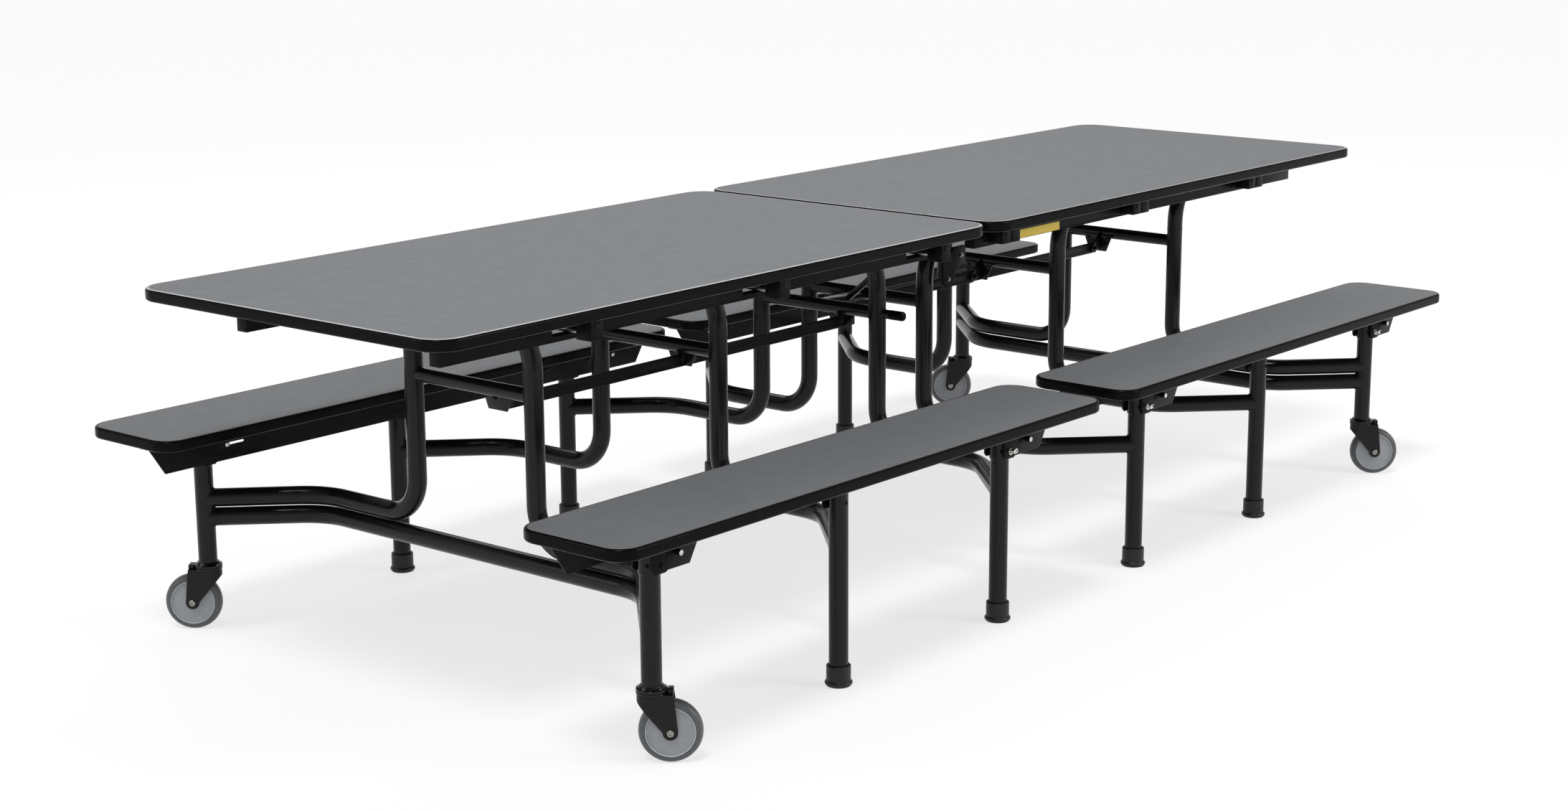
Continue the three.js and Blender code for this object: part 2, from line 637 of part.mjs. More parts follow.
function latchStub() {
  const end = LATCH_Y - LATCH_THICKNESS - LATCH_PIN_END;
  return shaftY(LATCH_PIN / 2, PIN_SIDES, LATCH_X, end, -UPRIGHT_Y, LATCH_Z);
}

function centreLatch() {
  const half = LATCH_HALF;
  const round = LATCH_CHAMFER;
  const outline = [
    [-half, round - LATCH_TONGUE],
    [round - half, -LATCH_TONGUE],
    [half - round, -LATCH_TONGUE],
    [half, round - LATCH_TONGUE],
    [half + round, LATCH_SHOULDER],
    [LATCH_NOSE, LATCH_NOSE_LOW],
    [LATCH_NOSE, LATCH_RISE - LATCH_NOSE_CHAMFER],
    [LATCH_NOSE - LATCH_NOSE_CHAMFER, LATCH_RISE],
    [LATCH_NOSE_BACK, LATCH_RISE],
    [round, LATCH_RISE - round],
    [-half, LATCH_RISE - round],
  ].map(([x, z]) => [LATCH_X + x, LATCH_Z + z]);
  const bore = holeRadius(LATCH_PIN, PIN_SIDES);
  return cut(
    plateY(outline, LATCH_Y - LATCH_THICKNESS, LATCH_Y),
    shaftY(bore, PIN_SIDES, LATCH_X, LATCH_Y - 2 * LATCH_THICKNESS, LATCH_Y + LATCH_THICKNESS, LATCH_Z));
}

// Half a table, with its outer end along +X
function half(name, turn, sideNames) {
  const group = new THREE.Group();
  group.rotation.z = turn;
  const add = (label, body, finish) => group.add(mesh(`${name}_${label}`, body, finish));
  add("top_panel", leafBoard(), "laminate");
  add("top_edge", leafEdge(), "edge");
  add("link_bar", linkBar(), "frame");
  for (const station of STATIONS) {
    add(`${station.name}_pivot_rod`, pivotRod(station), "zinc");
    if (station.name !== "center") {
      add(`${station.name}_cross_tube`, crossTube(station), "frame");
    }
    for (const [side, word] of sideNames) {
      const leg = legTube(station, side);
      const latched = name === "right" && station.name === "center" && side < 0;
      add(`${station.name}_${word}_leg`, latched ? joined(leg, latchStub()) : leg, "frame");
      if (station.name !== "end") {
        add(`${station.name}_${word}_glide`, glide(station, side), "glide");
      }
    }
  }
  const end = STATIONS[STATIONS.length - 1];
  add("end_lower_tube", lowerTube(end), "frame");
  for (const [side, word] of sideNames) {
    add(`${word}_rail`, rail(side, RAILS[`${name}_${word}`]), "frame");
    add(`${word}_seat`, seat(side), "laminate");
    add(`${word}_bench_channel`, benchChannel(side, word === "front"), "frame");
    const caster = new THREE.Group();
    caster.position.set(end.x + LEG_OUT, side * LEG_Y, 0);
    caster.rotation.z = CASTER_ANGLE + (side > 0 ? Math.PI : 0);
    caster.add(mesh(`${name}_${word}_caster_fork`, casterFork(), "fork"));
    caster.add(mesh(`${name}_${word}_caster_wheel`, casterWheel(), "wheel"));
    group.add(caster);
  }
  return group;
}

const table = new THREE.Group();
table.add(half("left", Math.PI, [[-1, "rear"], [1, "front"]]));
table.add(half("right", 0, [[-1, "front"], [1, "rear"]]));
table.add(mesh("center_cross_frame", centreCrossFrame(), "frame"));
table.add(mesh("center_latch", centreLatch(), "frame"));

export default table;
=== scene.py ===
"""Cafeteria folding table with benches: finishes, smooth tubes, boards, casters and fittings."""
from math import atan2, cos, pi, radians, sin, sqrt, tan

import bmesh
import bpy
from mathutils import Matrix, Vector


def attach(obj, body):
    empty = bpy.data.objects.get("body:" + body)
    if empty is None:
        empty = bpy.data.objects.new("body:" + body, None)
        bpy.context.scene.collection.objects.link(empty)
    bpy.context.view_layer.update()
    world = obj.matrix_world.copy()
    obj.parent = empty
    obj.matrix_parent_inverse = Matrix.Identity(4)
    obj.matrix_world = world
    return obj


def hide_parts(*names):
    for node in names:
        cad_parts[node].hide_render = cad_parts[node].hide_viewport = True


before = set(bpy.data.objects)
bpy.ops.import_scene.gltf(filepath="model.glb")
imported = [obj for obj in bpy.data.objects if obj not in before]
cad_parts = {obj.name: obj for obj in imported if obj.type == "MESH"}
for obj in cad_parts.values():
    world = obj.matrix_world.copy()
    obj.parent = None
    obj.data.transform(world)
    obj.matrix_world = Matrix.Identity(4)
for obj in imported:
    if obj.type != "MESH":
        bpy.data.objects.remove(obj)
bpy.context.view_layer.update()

# Boards; all sizes are in metres, and those of the solids are the solids' own
TABLE_HEIGHT = 0.737
LEAF_LENGTH = 1.519
LEAF_WIDTH = 0.790
LEAF_START = 0.005
LEAF_CORNER = 0.055
SEAT_HEIGHT = 0.424
SEAT_LENGTH = 1.392
SEAT_WIDTH = 0.245
SEAT_START = 0.038
SEAT_CORNER = 0.045
SEAT_Y = 0.5745
BOARD_THICKNESS = 0.022
LEAF_LOW = TABLE_HEIGHT - BOARD_THICKNESS
SEAT_LOW = SEAT_HEIGHT - BOARD_THICKNESS
PANEL_EASE = 0.0004
EDGE_BAND = 0.006
BULLNOSE = 0.005
BAND_LIP = 0.0007
BAND_DROP = 0.0001
# The leaf edges' highlight, painted: a pale line laid over the top of the band's round. It turns further over
# the round on the left leaf, whose edge catches the brighter highlight.
HIGHLIGHT_LINE_TURN = {"left": radians(28), "right": radians(14)}
HIGHLIGHT_LINE_PROUD = 0.0002
HIGHLIGHT_LINE_SUNK = -0.0004
HIGHLIGHT_LINE_LAP = EDGE_BAND + 0.0005

# Rails, pivot rods and their bearing blocks; a block's screw is given from the rod's end
RAIL_FACE = 0.3065
RAIL_PLATE_X = (0.165, 0.362)
RAIL_PLATE_Z = (0.671, 0.689)
RAIL_PLATE_PROUD = 0.0008
LEAF_PIVOT_Z = 0.690
ROD_RADIUS = 0.006
ROD_LONG_REACH = 0.378
ROD_SHORT_REACH = 0.346
ROD_SUNK = 0.004
BLOCK_LENGTH = 0.036
BLOCK_FRONT = 0.015
BLOCK_BACK = 0.049
BLOCK_SLIT = 0.003
BLOCK_SLIT_DEPTH = 0.012
BLOCK_LOW = 0.677
BLOCK_EASE = 0.0012
WIDE_BLOCK_SCREW = (-0.034, 0.004)
NARROW_BLOCK_SCREW = (0.0, 0.012)

# Leg frames
STATIONS = {"center": 0.081, "mid": 0.581, "end": 1.081}
UPRIGHT_Y = 0.157
LEG_Y = 0.585
LEG_OUT = 0.165
LEG_TOP = 0.368
TUBE_RADIUS = 0.018
ARM_HEIGHT = 0.262
ARM_BEND = 0.075
PLAN_BEND = 0.130
HEAD_OUT = 0.063
HEAD_ANGLE = radians(50)
HEAD_BEND = 0.120
HEAD_OVERHANG = 0.013
COLLAR_RADIUS = 0.020
COLLAR_HEIGHT = 0.040
COLLAR_EASE = 0.0012
CROSS_RADIUS = 0.0135
CROSS_HEIGHT = 0.538
LOWER_TUBE_Z = 0.224
RING_HEIGHT = CROSS_HEIGHT + 2.2 * CROSS_RADIUS
RING_SUNK = 0.001
RING_PROUD = 0.0005
RING_HALF = 0.0016
HANDLE_RADIUS = 0.0095
HANDLE_REACH = 0.070
HANDLE_SUNK = 0.004
CAP_WALL = 0.0004
CAP_LENGTH = 0.0345
TIE_HALF_WIDTH = 0.020
TIE_HALF_HEIGHT = 0.006
LEVER_FOOT = 0.013
LEVER_TIP = (0.075, CROSS_HEIGHT + 0.052)
LEVER_RADIUS = 0.006
LEVER_HALF = 0.004
WELD_DROP = 0.0021
WELD_PITCH = WELD_DROP * 1.15
SEAM_SHARE = 0.88

# Link bars, their ears and gussets on the cross tubes, and the latch
LINK_Y = 0.050
LINK_SETBACK = 0.042
LINK_Z = 0.505
LINK_THICKNESS = 0.006
LINK_PLAY = 0.0003
LINK_PIN_RADIUS = 0.004
EAR_THICKNESS = 0.005
EAR_RADIUS = 0.011
GUSSET_TOP = CROSS_HEIGHT - 0.004
GUSSET_LOW = LINK_Z - 0.010
GUSSET_WIDE = 0.040
GUSSET_NARROW = 0.024
GUSSET_SPLIT = 0.0055
GUSSET_THICKNESS = 0.003
GUSSET_EASE = 0.0005
GUSSET_SCREW_Y = 0.027
GUSSET_SCREW_Z = GUSSET_TOP - 0.008
LATCH_BOLTS = ((0.096, 0.589), (0.140, 0.635))
LATCH_FACE = -0.209
SHEET_EASE = 0.0006
LINK_EASE = 0.0012
LATCH_EASE = 0.0008

# Bench fittings; apron bolts are given from a station's leg; the corner leg has two holes and no split pin
APRON_FACE = 0.522
APRON_BOLT_Z = 0.376
BLACK_APRON_BOLTS = (("center", 0.121), ("center", -0.008))
BRIGHT_APRON_BOLTS = (("end", -0.012), ("center", -0.084))
BENCH_PIVOT_Z = 0.346
CHEEK_FACE = 0.0248
PIN_RADIUS = 0.0052
PIN_TIP_RADIUS = 0.0042
PIN_TIP = 0.011
PIN_SUNK = 0.001
COTTER_OUT = 0.0078
COTTER_RADIUS = 0.0013
COTTER_BEND = 0.0018
COTTER_PATH = (
    (0.013, 0.003), (0.004, 0.0014), (-0.005, 0.0014), (-0.009, 0.0045), (-0.014, 0.0),
    (-0.009, -0.0045), (-0.005, -0.0014), (0.004, -0.0014), (0.011, -0.004),
)
STUD_OUT = {"center": 0.050, "end": 0.036}
STUD_RISE = 0.016
STUD_LENGTH = 0.013
STUD_SUNK = 0.002
NOTCH_OUT = 0.016
NOTCH_HALF = 0.007
NOTCH_LOW = BENCH_PIVOT_Z + 0.010
NOTCH_HIGH = BENCH_PIVOT_Z + 0.020
NOTCH_PROUD = 0.0006
THIN_EDGE = 0.0002
HOLE_FACING = (0.70, 0.71)
CUP_GAP = 0.0012
CUP_DROP = 0.0045
CORNER_LEG = ("left", "front", "end")
CORNER_HOLE_FACINGS = ((0.85, 0.53), (0.28, 0.96))

# Glides and casters; sections are (radius, depth below the caster's top) or (radius, way from mid wheel)
GLIDE_FLOOR = 0.008
GLIDE_HEIGHT = 0.040
GLIDE_BORE = TUBE_RADIUS + 0.0002
GLIDE_WALL = 0.0227
GLIDE_FLARE = 0.0257
CASTER_HEIGHT = 0.135
CASTER_TRAIL = 0.031
CASTER_ANGLE = radians(-50.6)
WHEEL_RADIUS = 0.055
FORK_INNER = 0.0165
FORK_WALL = 0.0035
FORK_OUTER = FORK_INNER + FORK_WALL
FORK_EYE = 0.013
FORK_LIP = 0.014
FORK_EASE = 0.001
CROWN_TOP = 0.1217
CROWN_LOW = CROWN_TOP - 0.004
CROWN_BACK = 0.026
CROWN_FRONT = 0.037
CROWN_PLATE_BACK = 0.012
CROWN_PLATE_FRONT = CROWN_FRONT - 0.002
TAB_LENGTH = 0.010
TAB_HALF = 0.011
TAB_RISE = 0.008
AXLE_RADIUS = 0.0045
AXLE_PROUD = 0.001
RACE_SECTION = (
    (0, 0), (0.0205, 0), (0.0215, 0.001), (0.0235, 0.0040), (0.0262, 0.0045), (0.0270, 0.0055),
    (0.0270, 0.0085), (0.0258, 0.0092), (0.0258, 0.0100), (0.0270, 0.0106), (0.0270, 0.0140),
    (0.0255, 0.0152), (0, 0.0152),
)
NECK_SECTION = (
    (0, -0.0004), (0.0196, -0.0004), (0.0207, 0.0006), (0.0222, 0.0034), (0.0222, 0.0044), (0, 0.0044),
)
HALF_TREAD = (
    (WHEEL_RADIUS, 0.003), (0.0540, 0.0075), (0.0528, 0.0105), (0.0508, 0.0130), (0.0478, 0.0146),
    (0.0446, 0.0150), (0.0436, 0.0143), (0.0430, 0.0138),
)
HALF_HUB = (
    (0.0432, 0.0136), (0.0418, 0.0136), (0.0413, 0.0126), (0.0400, 0.0120), (0.0385, 0.0118),
    (0.0160, 0.0124), (0.0115, 0.0142), (0.0064, 0.0148),
)
RIM_SECTION = ((0.0416, 0.0130), (0.0418, 0.0148), (0.0424, 0.0155), (0.0430, 0.0152), (0.0433, 0.0130))

# Fasteners, each turned about its own Z from (radius, height) points: six sides make a hexagon
FASTENER_FORMS = {
    "hex_bolt": [([(0, 0), (0.0085, 0), (0.0085, 0.0014), (0, 0.0014)], 24),
                 ([(0, 0.001), (0.0063, 0.001), (0.0063, 0.0056), (0.0056, 0.0062), (0, 0.0062)], 6)],
    "nut": [([(0, 0), (0.0062, 0), (0.0062, 0.0052), (0.0056, 0.0058), (0, 0.0058)], 6),
            ([(0, 0.005), (0.0034, 0.005), (0.0034, 0.0088), (0.0028, 0.0094), (0, 0.0094)], 16)],
    "screw": [([(0, 0), (0.0044, 0), (0.0044, 0.0009), (0.0036, 0.0019), (0.0020, 0.0026), (0.0012, 0.0027),
                (0.0010, 0.0016), (0, 0.0016)], 16)],
    "socket_bolt": [([(0, 0), (0.0060, 0), (0.0060, 0.0014), (0.0050, 0.0024), (0.0034, 0.0028),
                      (0.0029, 0.0028), (0.0026, 0.0008), (0, 0.0008)], 24)],
    "washer": [([(0, 0), (0.0105, 0), (0.0105, 0.0016), (0.0098, 0.0022), (0, 0.0022)], 28)],
    # A thin disc, no fastener: painted shade in a hole or a stud's end
    "plug": [([(0, -0.002), (0.0036, -0.002), (0.0036, 0.0003), (0.0033, 0.0005), (0, 0.0005)], 20)],
    "knob": [([(0, 0), (0.0095, 0), (0.0095, 0.003), (0.0085, 0.0055), (0.006, 0.0070), (0.003, 0.0075),
               (0, 0.0076)], 28)],
}

# Camera, floor and light; a softbox has its place, width, height and power
PHOTO_WIDTH = 2186
FOCAL_PIXELS = 3676.09
SENSOR_WIDTH = 36
CAMERA_AT = (-4.31853, -3.43643, 1.57199)
CAMERA_YAW = radians(39.81)
CAMERA_PITCH = radians(12.93)
CAMERA_ROLL = radians(-0.29)
FLOOR_HALF = 60
FLOOR_LIFT = 0.70
WALL_LIGHT = 1.0
WALL_TOP = 0.5
CEILING_LIGHT = 0.35
SUN_POWER = 1.75
SUN_SPREAD = radians(15)
SUN_FROM = (-0.43, -0.20, 1)
SOFTBOX_AIM = (0, 0, 0.4)
SOFTBOXES = {
    "back_softbox": ((3.6, 3.3, 4.2), 5.0, 1.7, 60),
    "left_softbox": ((-5.0, 2.5, 3.2), 2.4, 2.4, 50),
    "right_softbox": ((2.5, -6.0, 3.4), 2.6, 2.6, 165),
}

# Turns, facets and smoothing
HALVES = {"left": -1, "right": 1}
TUBE_SIDES = 28
ROD_SIDES = 20
PIN_SIDES = 16
COTTER_SIDES = 8
LEG_SIDES = 36
CAP_SIDES = 32
GLIDE_SIDES = 44
SWIVEL_SIDES = 48
WHEEL_SIDES = 72
CORNER_STEPS = 12
BEND_STEPS = 12
BAND_STEPS = 8
HIGHLIGHT_LINE_STEPS = 4
STRAP_STEPS = 10
SEAM_STEPS = 28
EYE_STEPS = 14
CROWN_STEPS = 12
FORK_STEPS = 6
FORK_ROWS = 3
SMOOTH_ANGLE = radians(32)
BOARD_SMOOTH_ANGLE = radians(24)
BEVEL_ANGLE = radians(50)
FLAT_ANGLE = radians(1)
UNDERSIDE = -0.6
ROOT = bpy.context.scene.collection


# Finishes
def finish(name, colour, roughness, metallic=0.0, gloss=0.5):
    material = bpy.data.materials.new(name)
    material.use_nodes = True
    shader = material.node_tree.nodes["Principled BSDF"]
    shader.inputs["Base Color"].default_value = (*colour, 1)
    shader.inputs["Roughness"].default_value = roughness
    shader.inputs["Metallic"].default_value = metallic
    shader.inputs["Specular IOR Level"].default_value = gloss
    return material


class Surface:
    """Adds texture nodes to a finish, all of them on Object coordinates."""

    def __init__(self, material):
        self.nodes = material.node_tree.nodes
        self.links = material.node_tree.links
        self.shader = self.nodes["Principled BSDF"]
        self.place = self.nodes.new("ShaderNodeTexCoord").outputs["Object"]

    def noise(self, scale, detail):
        texture = self.nodes.new("ShaderNodeTexNoise")
        texture.inputs["Scale"].default_value = scale
        texture.inputs["Detail"].default_value = detail
        self.links.new(self.place, texture.inputs["Vector"])
        return texture.outputs["Fac"]

    def grains(self, scale):
        texture = self.nodes.new("ShaderNodeTexVoronoi")
        texture.inputs["Scale"].default_value = scale
        self.links.new(self.place, texture.inputs["Vector"])
        return texture.outputs["Distance"]

    def ramp(self, value, *stops):
        node = self.nodes.new("ShaderNodeValToRGB")
        band = node.color_ramp.elements
        while len(band) < len(stops):
            band.new(0.5)
        for element, (at, colour) in zip(band, stops):
            element.position = at
            element.color = (*colour, 1)
        self.links.new(value, node.inputs["Fac"])
        return node.outputs["Color"]

    def mix(self, share, first, second):
        node = self.nodes.new("ShaderNodeMixRGB")
        for socket, value in zip(node.inputs, (share, first, second)):
            if isinstance(value, bpy.types.NodeSocket):
                self.links.new(value, socket)
            else:
                socket.default_value = value
        return node.outputs["Color"]

    def spread(self, value, low, high):
        node = self.nodes.new("ShaderNodeMapRange")
        node.inputs["To Min"].default_value = low
        node.inputs["To Max"].default_value = high
        self.links.new(value, node.inputs["Value"])
        return node.outputs["Result"]

    def facing_down(self):
        normal = self.nodes.new("ShaderNodeNewGeometry").outputs["Normal"]
        split = self.nodes.new("ShaderNodeSeparateXYZ")
        self.links.new(normal, split.inputs["Vector"])
        below = self.nodes.new("ShaderNodeMath")
        below.operation = "LESS_THAN"
        below.inputs[1].default_value = UNDERSIDE
        self.links.new(split.outputs["Z"], below.inputs[0])
        return below.outputs["Value"]

    def colour(self, value):
        self.links.new(value, self.shader.inputs["Base Color"])

    def roughness(self, value):
        self.links.new(value, self.shader.inputs["Roughness"])

    def bump(self, height, strength, depth):
        node = self.nodes.new("ShaderNodeBump")
        node.inputs["Strength"].default_value = strength
        node.inputs["Distance"].default_value = depth
        self.links.new(height, node.inputs["Height"])
        self.links.new(node.outputs["Normal"], self.shader.inputs["Normal"])


def grey(value):
    return (value, value, value * 1.02)


def slate(value):
    return (value * 0.96, value, value * 1.05)


def laminate_finish(name, tone):
    """Speckled grey laminate on top, brown backing paper below."""
    material = finish(name, slate(tone), 0.5, gloss=0.15)
    skin = Surface(material)
    fleck = skin.ramp(skin.noise(950, 3), (0.32, slate(tone * 0.70)), (0.5, slate(tone)),
                      (0.68, slate(tone * 1.32)))
    cloud = skin.ramp(skin.noise(26, 4), (0.3, slate(tone * 0.90)), (0.7, slate(tone * 1.10)))
    top = skin.mix(0.55, cloud, fleck)
    paper = skin.ramp(skin.noise(160, 4), (0.3, (0.030, 0.026, 0.022)), (0.7, (0.046, 0.040, 0.034)))
    skin.colour(skin.mix(skin.facing_down(), top, paper))
    skin.roughness(skin.spread(skin.noise(40, 5), 0.44, 0.56))
    skin.bump(skin.noise(1400, 2), 0.12, 0.0002)
    return material


def edge_finish():
    """Glossy black plastic of the boards' edge bands."""
    material = finish("black_edge_band", grey(0.003), 0.2, gloss=0.05)
    skin = Surface(material)
    skin.colour(skin.ramp(skin.noise(220, 5), (0.35, grey(0.002)), (0.75, grey(0.004))))
    skin.roughness(skin.spread(skin.noise(70, 6), 0.14, 0.26))
    skin.bump(skin.noise(900, 3), 0.06, 0.0002)
    return material


def powder_finish(name, gloss, smooth, rough):
    """Black powder coat with a little orange peel."""
    material = finish(name, grey(0.005), rough, gloss=gloss)
    skin = Surface(material)
    skin.colour(skin.ramp(skin.noise(60, 6), (0.3, grey(0.004)), (0.7, grey(0.007))))
    skin.roughness(skin.spread(skin.noise(35, 4), smooth, rough))
    skin.bump(skin.noise(750, 2), 0.07, 0.0003)
    return material


def metal_finish(name, dull, plain, bright):
    """Zinc plating that clouds between three tones."""
    material = finish(name, plain, 0.3, 1.0)
    skin = Surface(material)
    skin.colour(skin.ramp(skin.noise(140, 5), (0.3, dull), (0.55, plain), (0.8, bright)))
    skin.roughness(skin.spread(skin.noise(300, 4), 0.2, 0.42))
    skin.bump(skin.noise(1600, 2), 0.06, 0.0001)
    return material


def moulded_finish(name, dark, light, rough, gloss=0.4):
    """Moulded plastic, rubber or paint with a fine grain."""
    material = finish(name, dark, rough, gloss=gloss)
    skin = Surface(material)
    skin.colour(skin.ramp(skin.noise(180, 5), (0.3, dark), (0.7, light)))
    skin.roughness(skin.spread(skin.noise(90, 4), rough - 0.06, rough + 0.08))
    skin.bump(skin.grains(1500), 0.06, 0.0002)
    return material


LEAF_LAMINATE = laminate_finish("grey_leaf_laminate", 0.150)
SEAT_LAMINATE = laminate_finish("grey_seat_laminate", 0.148)
EDGE = edge_finish()
POWDER = powder_finish("black_powder_coat", 0.22, 0.16, 0.28)
SHEET_COAT = powder_finish("black_sheet_coat", 0.06, 0.26, 0.40)
ZINC = metal_finish("bright_zinc", (0.50, 0.50, 0.49), (0.66, 0.65, 0.62), (0.70, 0.68, 0.58))
# A darker copy of the bright zinc. On the pivot rods the darkening is painted shade, as they lie in the shade
# under the leaves; the latch bolts and the casters' necks and axles take it too.
SHADED_DULL_ZINC = metal_finish("shaded_dull_zinc", (0.20, 0.20, 0.19), (0.30, 0.29, 0.27), (0.38, 0.36, 0.30))
# Near-black: painted shade for the insides of holes and stud ends, and for the dark patches on the stop
# plates
HOLE_SHADE = moulded_finish("painted_hole_shade", grey(0.0012), grey(0.0020), 0.7, 0.1)
GLIDE = moulded_finish("black_glide_plastic", grey(0.007), grey(0.013), 0.40, 0.3)
FORK = moulded_finish("black_fork_paint", grey(0.005), grey(0.008), 0.26, 0.20)
RACE = moulded_finish("black_race_plating", grey(0.002), grey(0.004), 0.12, 0.30)
TREAD = moulded_finish("grey_tread_rubber", slate(0.066), slate(0.084), 0.34)
HUB = moulded_finish("grey_hub_plastic", slate(0.245), slate(0.280), 0.40)
# Paler than the hub: the highlight on the wheel's raised rim, painted
RIM_HIGHLIGHT = moulded_finish("hub_rim_painted_highlight", slate(0.44), slate(0.50), 0.30)
# Pale colour that paints the highlight on the leaf edges' round
EDGE_HIGHLIGHT = moulded_finish("painted_edge_highlight", slate(0.42), slate(0.50), 0.40)
YELLOW = moulded_finish("yellow_plate", (0.66, 0.47, 0.04), (0.74, 0.55, 0.07), 0.45)


# Meshes and pieces
def smoothed(mesh, angle=SMOOTH_ANGLE):
    mesh.shade_smooth()
    mesh.set_sharp_from_angle(angle=angle)
    return mesh


def plain_mesh(shape):
    mesh = bpy.data.meshes.new("mesh")
    shape.to_mesh(mesh)
    shape.free()
    return mesh


def mesh_from(shape, angle=SMOOTH_ANGLE):
    bmesh.ops.recalc_face_normals(shape, faces=shape.faces)
    return smoothed(plain_mesh(shape), angle)


def merged(*meshes):
    shape = bmesh.new()
    for mesh in meshes:
        shape.from_mesh(mesh)
    return smoothed(plain_mesh(shape))


def piece(name, mesh, body, slot, material, *nodes):
    """A finished mesh as a piece that rides on a body and may stand for solids of it."""
    mesh.name = name
    mesh.materials.clear()
    mesh.materials.append(material)
    made = bpy.data.objects.new(name, mesh)
    ROOT.objects.link(made)
    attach(made, body)
    if nodes:
        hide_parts(*nodes)


def half_piece(half, name, mesh, *rest):
    """A piece from a mesh of the right half, turned half round for the left one."""
    if HALVES[half] < 0:
        mesh.transform(Matrix.Rotation(pi, 4, "Z"))
    piece(f"{half}_{name}", mesh, *rest)


def bevelled(shape, width):
    edges = [edge for edge in shape.edges
             if len(edge.link_faces) == 2 and edge.calc_face_angle(0) > BEVEL_ANGLE]
    bmesh.ops.bevel(shape, geom=edges, offset=width, segments=2, profile=0.5, affect="EDGES",
                    clamp_overlap=True)
    return shape


def bridge(shape, low, high):
    """Faces between two rings of points; a ring of one point is a pole."""
    sides = max(len(low), len(high))
    for i in range(sides):
        j = (i + 1) % sides
        corners = [low[i % len(low)], low[j % len(low)], high[j % len(high)], high[i % len(high)]]
        shape.faces.new(list(dict.fromkeys(corners)))


def lathe(profile, sides, place=Matrix.Identity(4)):
    """A closed body turned about Z from (radius, height) points; a radius of 0 is a pole."""
    shape = bmesh.new()
    around = [2 * pi * i / sides for i in range(sides)]
    rings = []
    for radius, height in profile:
        turns = around if radius else around[:1]
        points = [Vector((radius * cos(turn), radius * sin(turn), height)) for turn in turns]
        rings.append([shape.verts.new(place @ point) for point in points])
    for low, high in zip(rings, rings[1:]):
        bridge(shape, low, high)
    if len(rings[0]) > 1:
        bridge(shape, rings[-1], rings[0])
    return mesh_from(shape)


def facing(at, direction):
    """A matrix that puts Z along a direction at a point."""
    return Matrix.Translation(at) @ Vector(direction).to_track_quat("Z", "Y").to_matrix().to_4x4()


def block(low, high, bevel):
    """A box between two corners, with eased edges."""
    shape = bmesh.new()
    bmesh.ops.create_cube(shape, size=1)
    for vert in shape.verts:
        sides = zip(vert.co, low, high)
        vert.co = Vector([(start + end) / 2 + share * (end - start) for share, start, end in sides])
    return mesh_from(bevelled(shape, bevel))


def plate(outline, y0, y1, bevel):
    """A plate cut to (x, z) points, standing between two y values."""
    shape = bmesh.new()
    face = shape.faces.new([shape.verts.new((x, y0, z)) for x, z in outline])
    pulled = bmesh.ops.extrude_face_region(shape, geom=[face])["geom"]
    far = [part for part in pulled if isinstance(part, bmesh.types.BMVert)]
    bmesh.ops.translate(shape, vec=(0, y1 - y0, 0), verts=far)
    bmesh.ops.recalc_face_normals(shape, faces=shape.faces)
    return mesh_from(bevelled(shape, bevel))


def plate_across(outline, x0, x1, bevel):
    """A plate cut to (y, z) points, standing between two x values."""
    made = plate(outline, -x1, -x0, bevel)
    made.transform(Matrix.Rotation(pi / 2, 4, "Z"))
    return made


def strap_outline(a, b, radius):
    """A strap's outline, round about its two ends."""
    along = atan2(b[1] - a[1], b[0] - a[0])
    points = []
    for (x, z), middle in ((b, along), (a, along + pi)):
        for i in range(STRAP_STEPS + 1):
            turn = middle - pi / 2 + pi * i / STRAP_STEPS
            points.append((x + radius * cos(turn), z + radius * sin(turn)))
    return points


def softened(node, width):
    """A copy of a solid with its sheet edges eased."""
    shape = bmesh.new()
    shape.from_mesh(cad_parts[node].data)
    bmesh.ops.remove_doubles(shape, verts=shape.verts, dist=1e-6)
    bmesh.ops.dissolve_limit(shape, angle_limit=FLAT_ANGLE, verts=shape.verts, edges=shape.edges)
    return mesh_from(bevelled(shape, width))


# Geometry trees for what repeats or follows a path
def tree(name, **inputs):
    """A tree with a geometry input and more inputs by name, and the sockets that they give."""
    made = bpy.data.node_groups.new(name, "GeometryNodeTree")
    made.interface.new_socket("Geometry", in_out="INPUT", socket_type="NodeSocketGeometry")
    for label, kind in inputs.items():
        made.interface.new_socket(label, in_out="INPUT", socket_type=f"NodeSocket{kind}")
    made.interface.new_socket("Geometry", in_out="OUTPUT", socket_type="NodeSocketGeometry")
    return made, made.nodes.new("NodeGroupInput").outputs


def step(made, kind, mode=None, **sources):
    """Adds a node and joins its sockets, named with spaces as underscores, to outputs or plain values."""
    node = made.nodes.new(kind)
    if mode:
        node.mode = mode
    for label, source in sources.items():
        socket = node.inputs[label.replace("_", " ")]
        if isinstance(source, bpy.types.NodeSocket):
            made.links.new(source, socket)
        else:
            socket.default_value = source
    return node


def ending(made, geometry, material):
    whole = step(made, "GeometryNodeRealizeInstances", Geometry=geometry).outputs["Geometry"]
    painted = step(made, "GeometryNodeSetMaterial", Geometry=whole, Material=material).outputs["Geometry"]
    step(made, "NodeGroupOutput", Geometry=painted)


def named(made, name, kind):
    node = step(made, "GeometryNodeInputNamedAttribute", Name=name)
    node.data_type = kind
    return next(socket for socket in node.outputs if socket.enabled and socket.name == "Attribute")


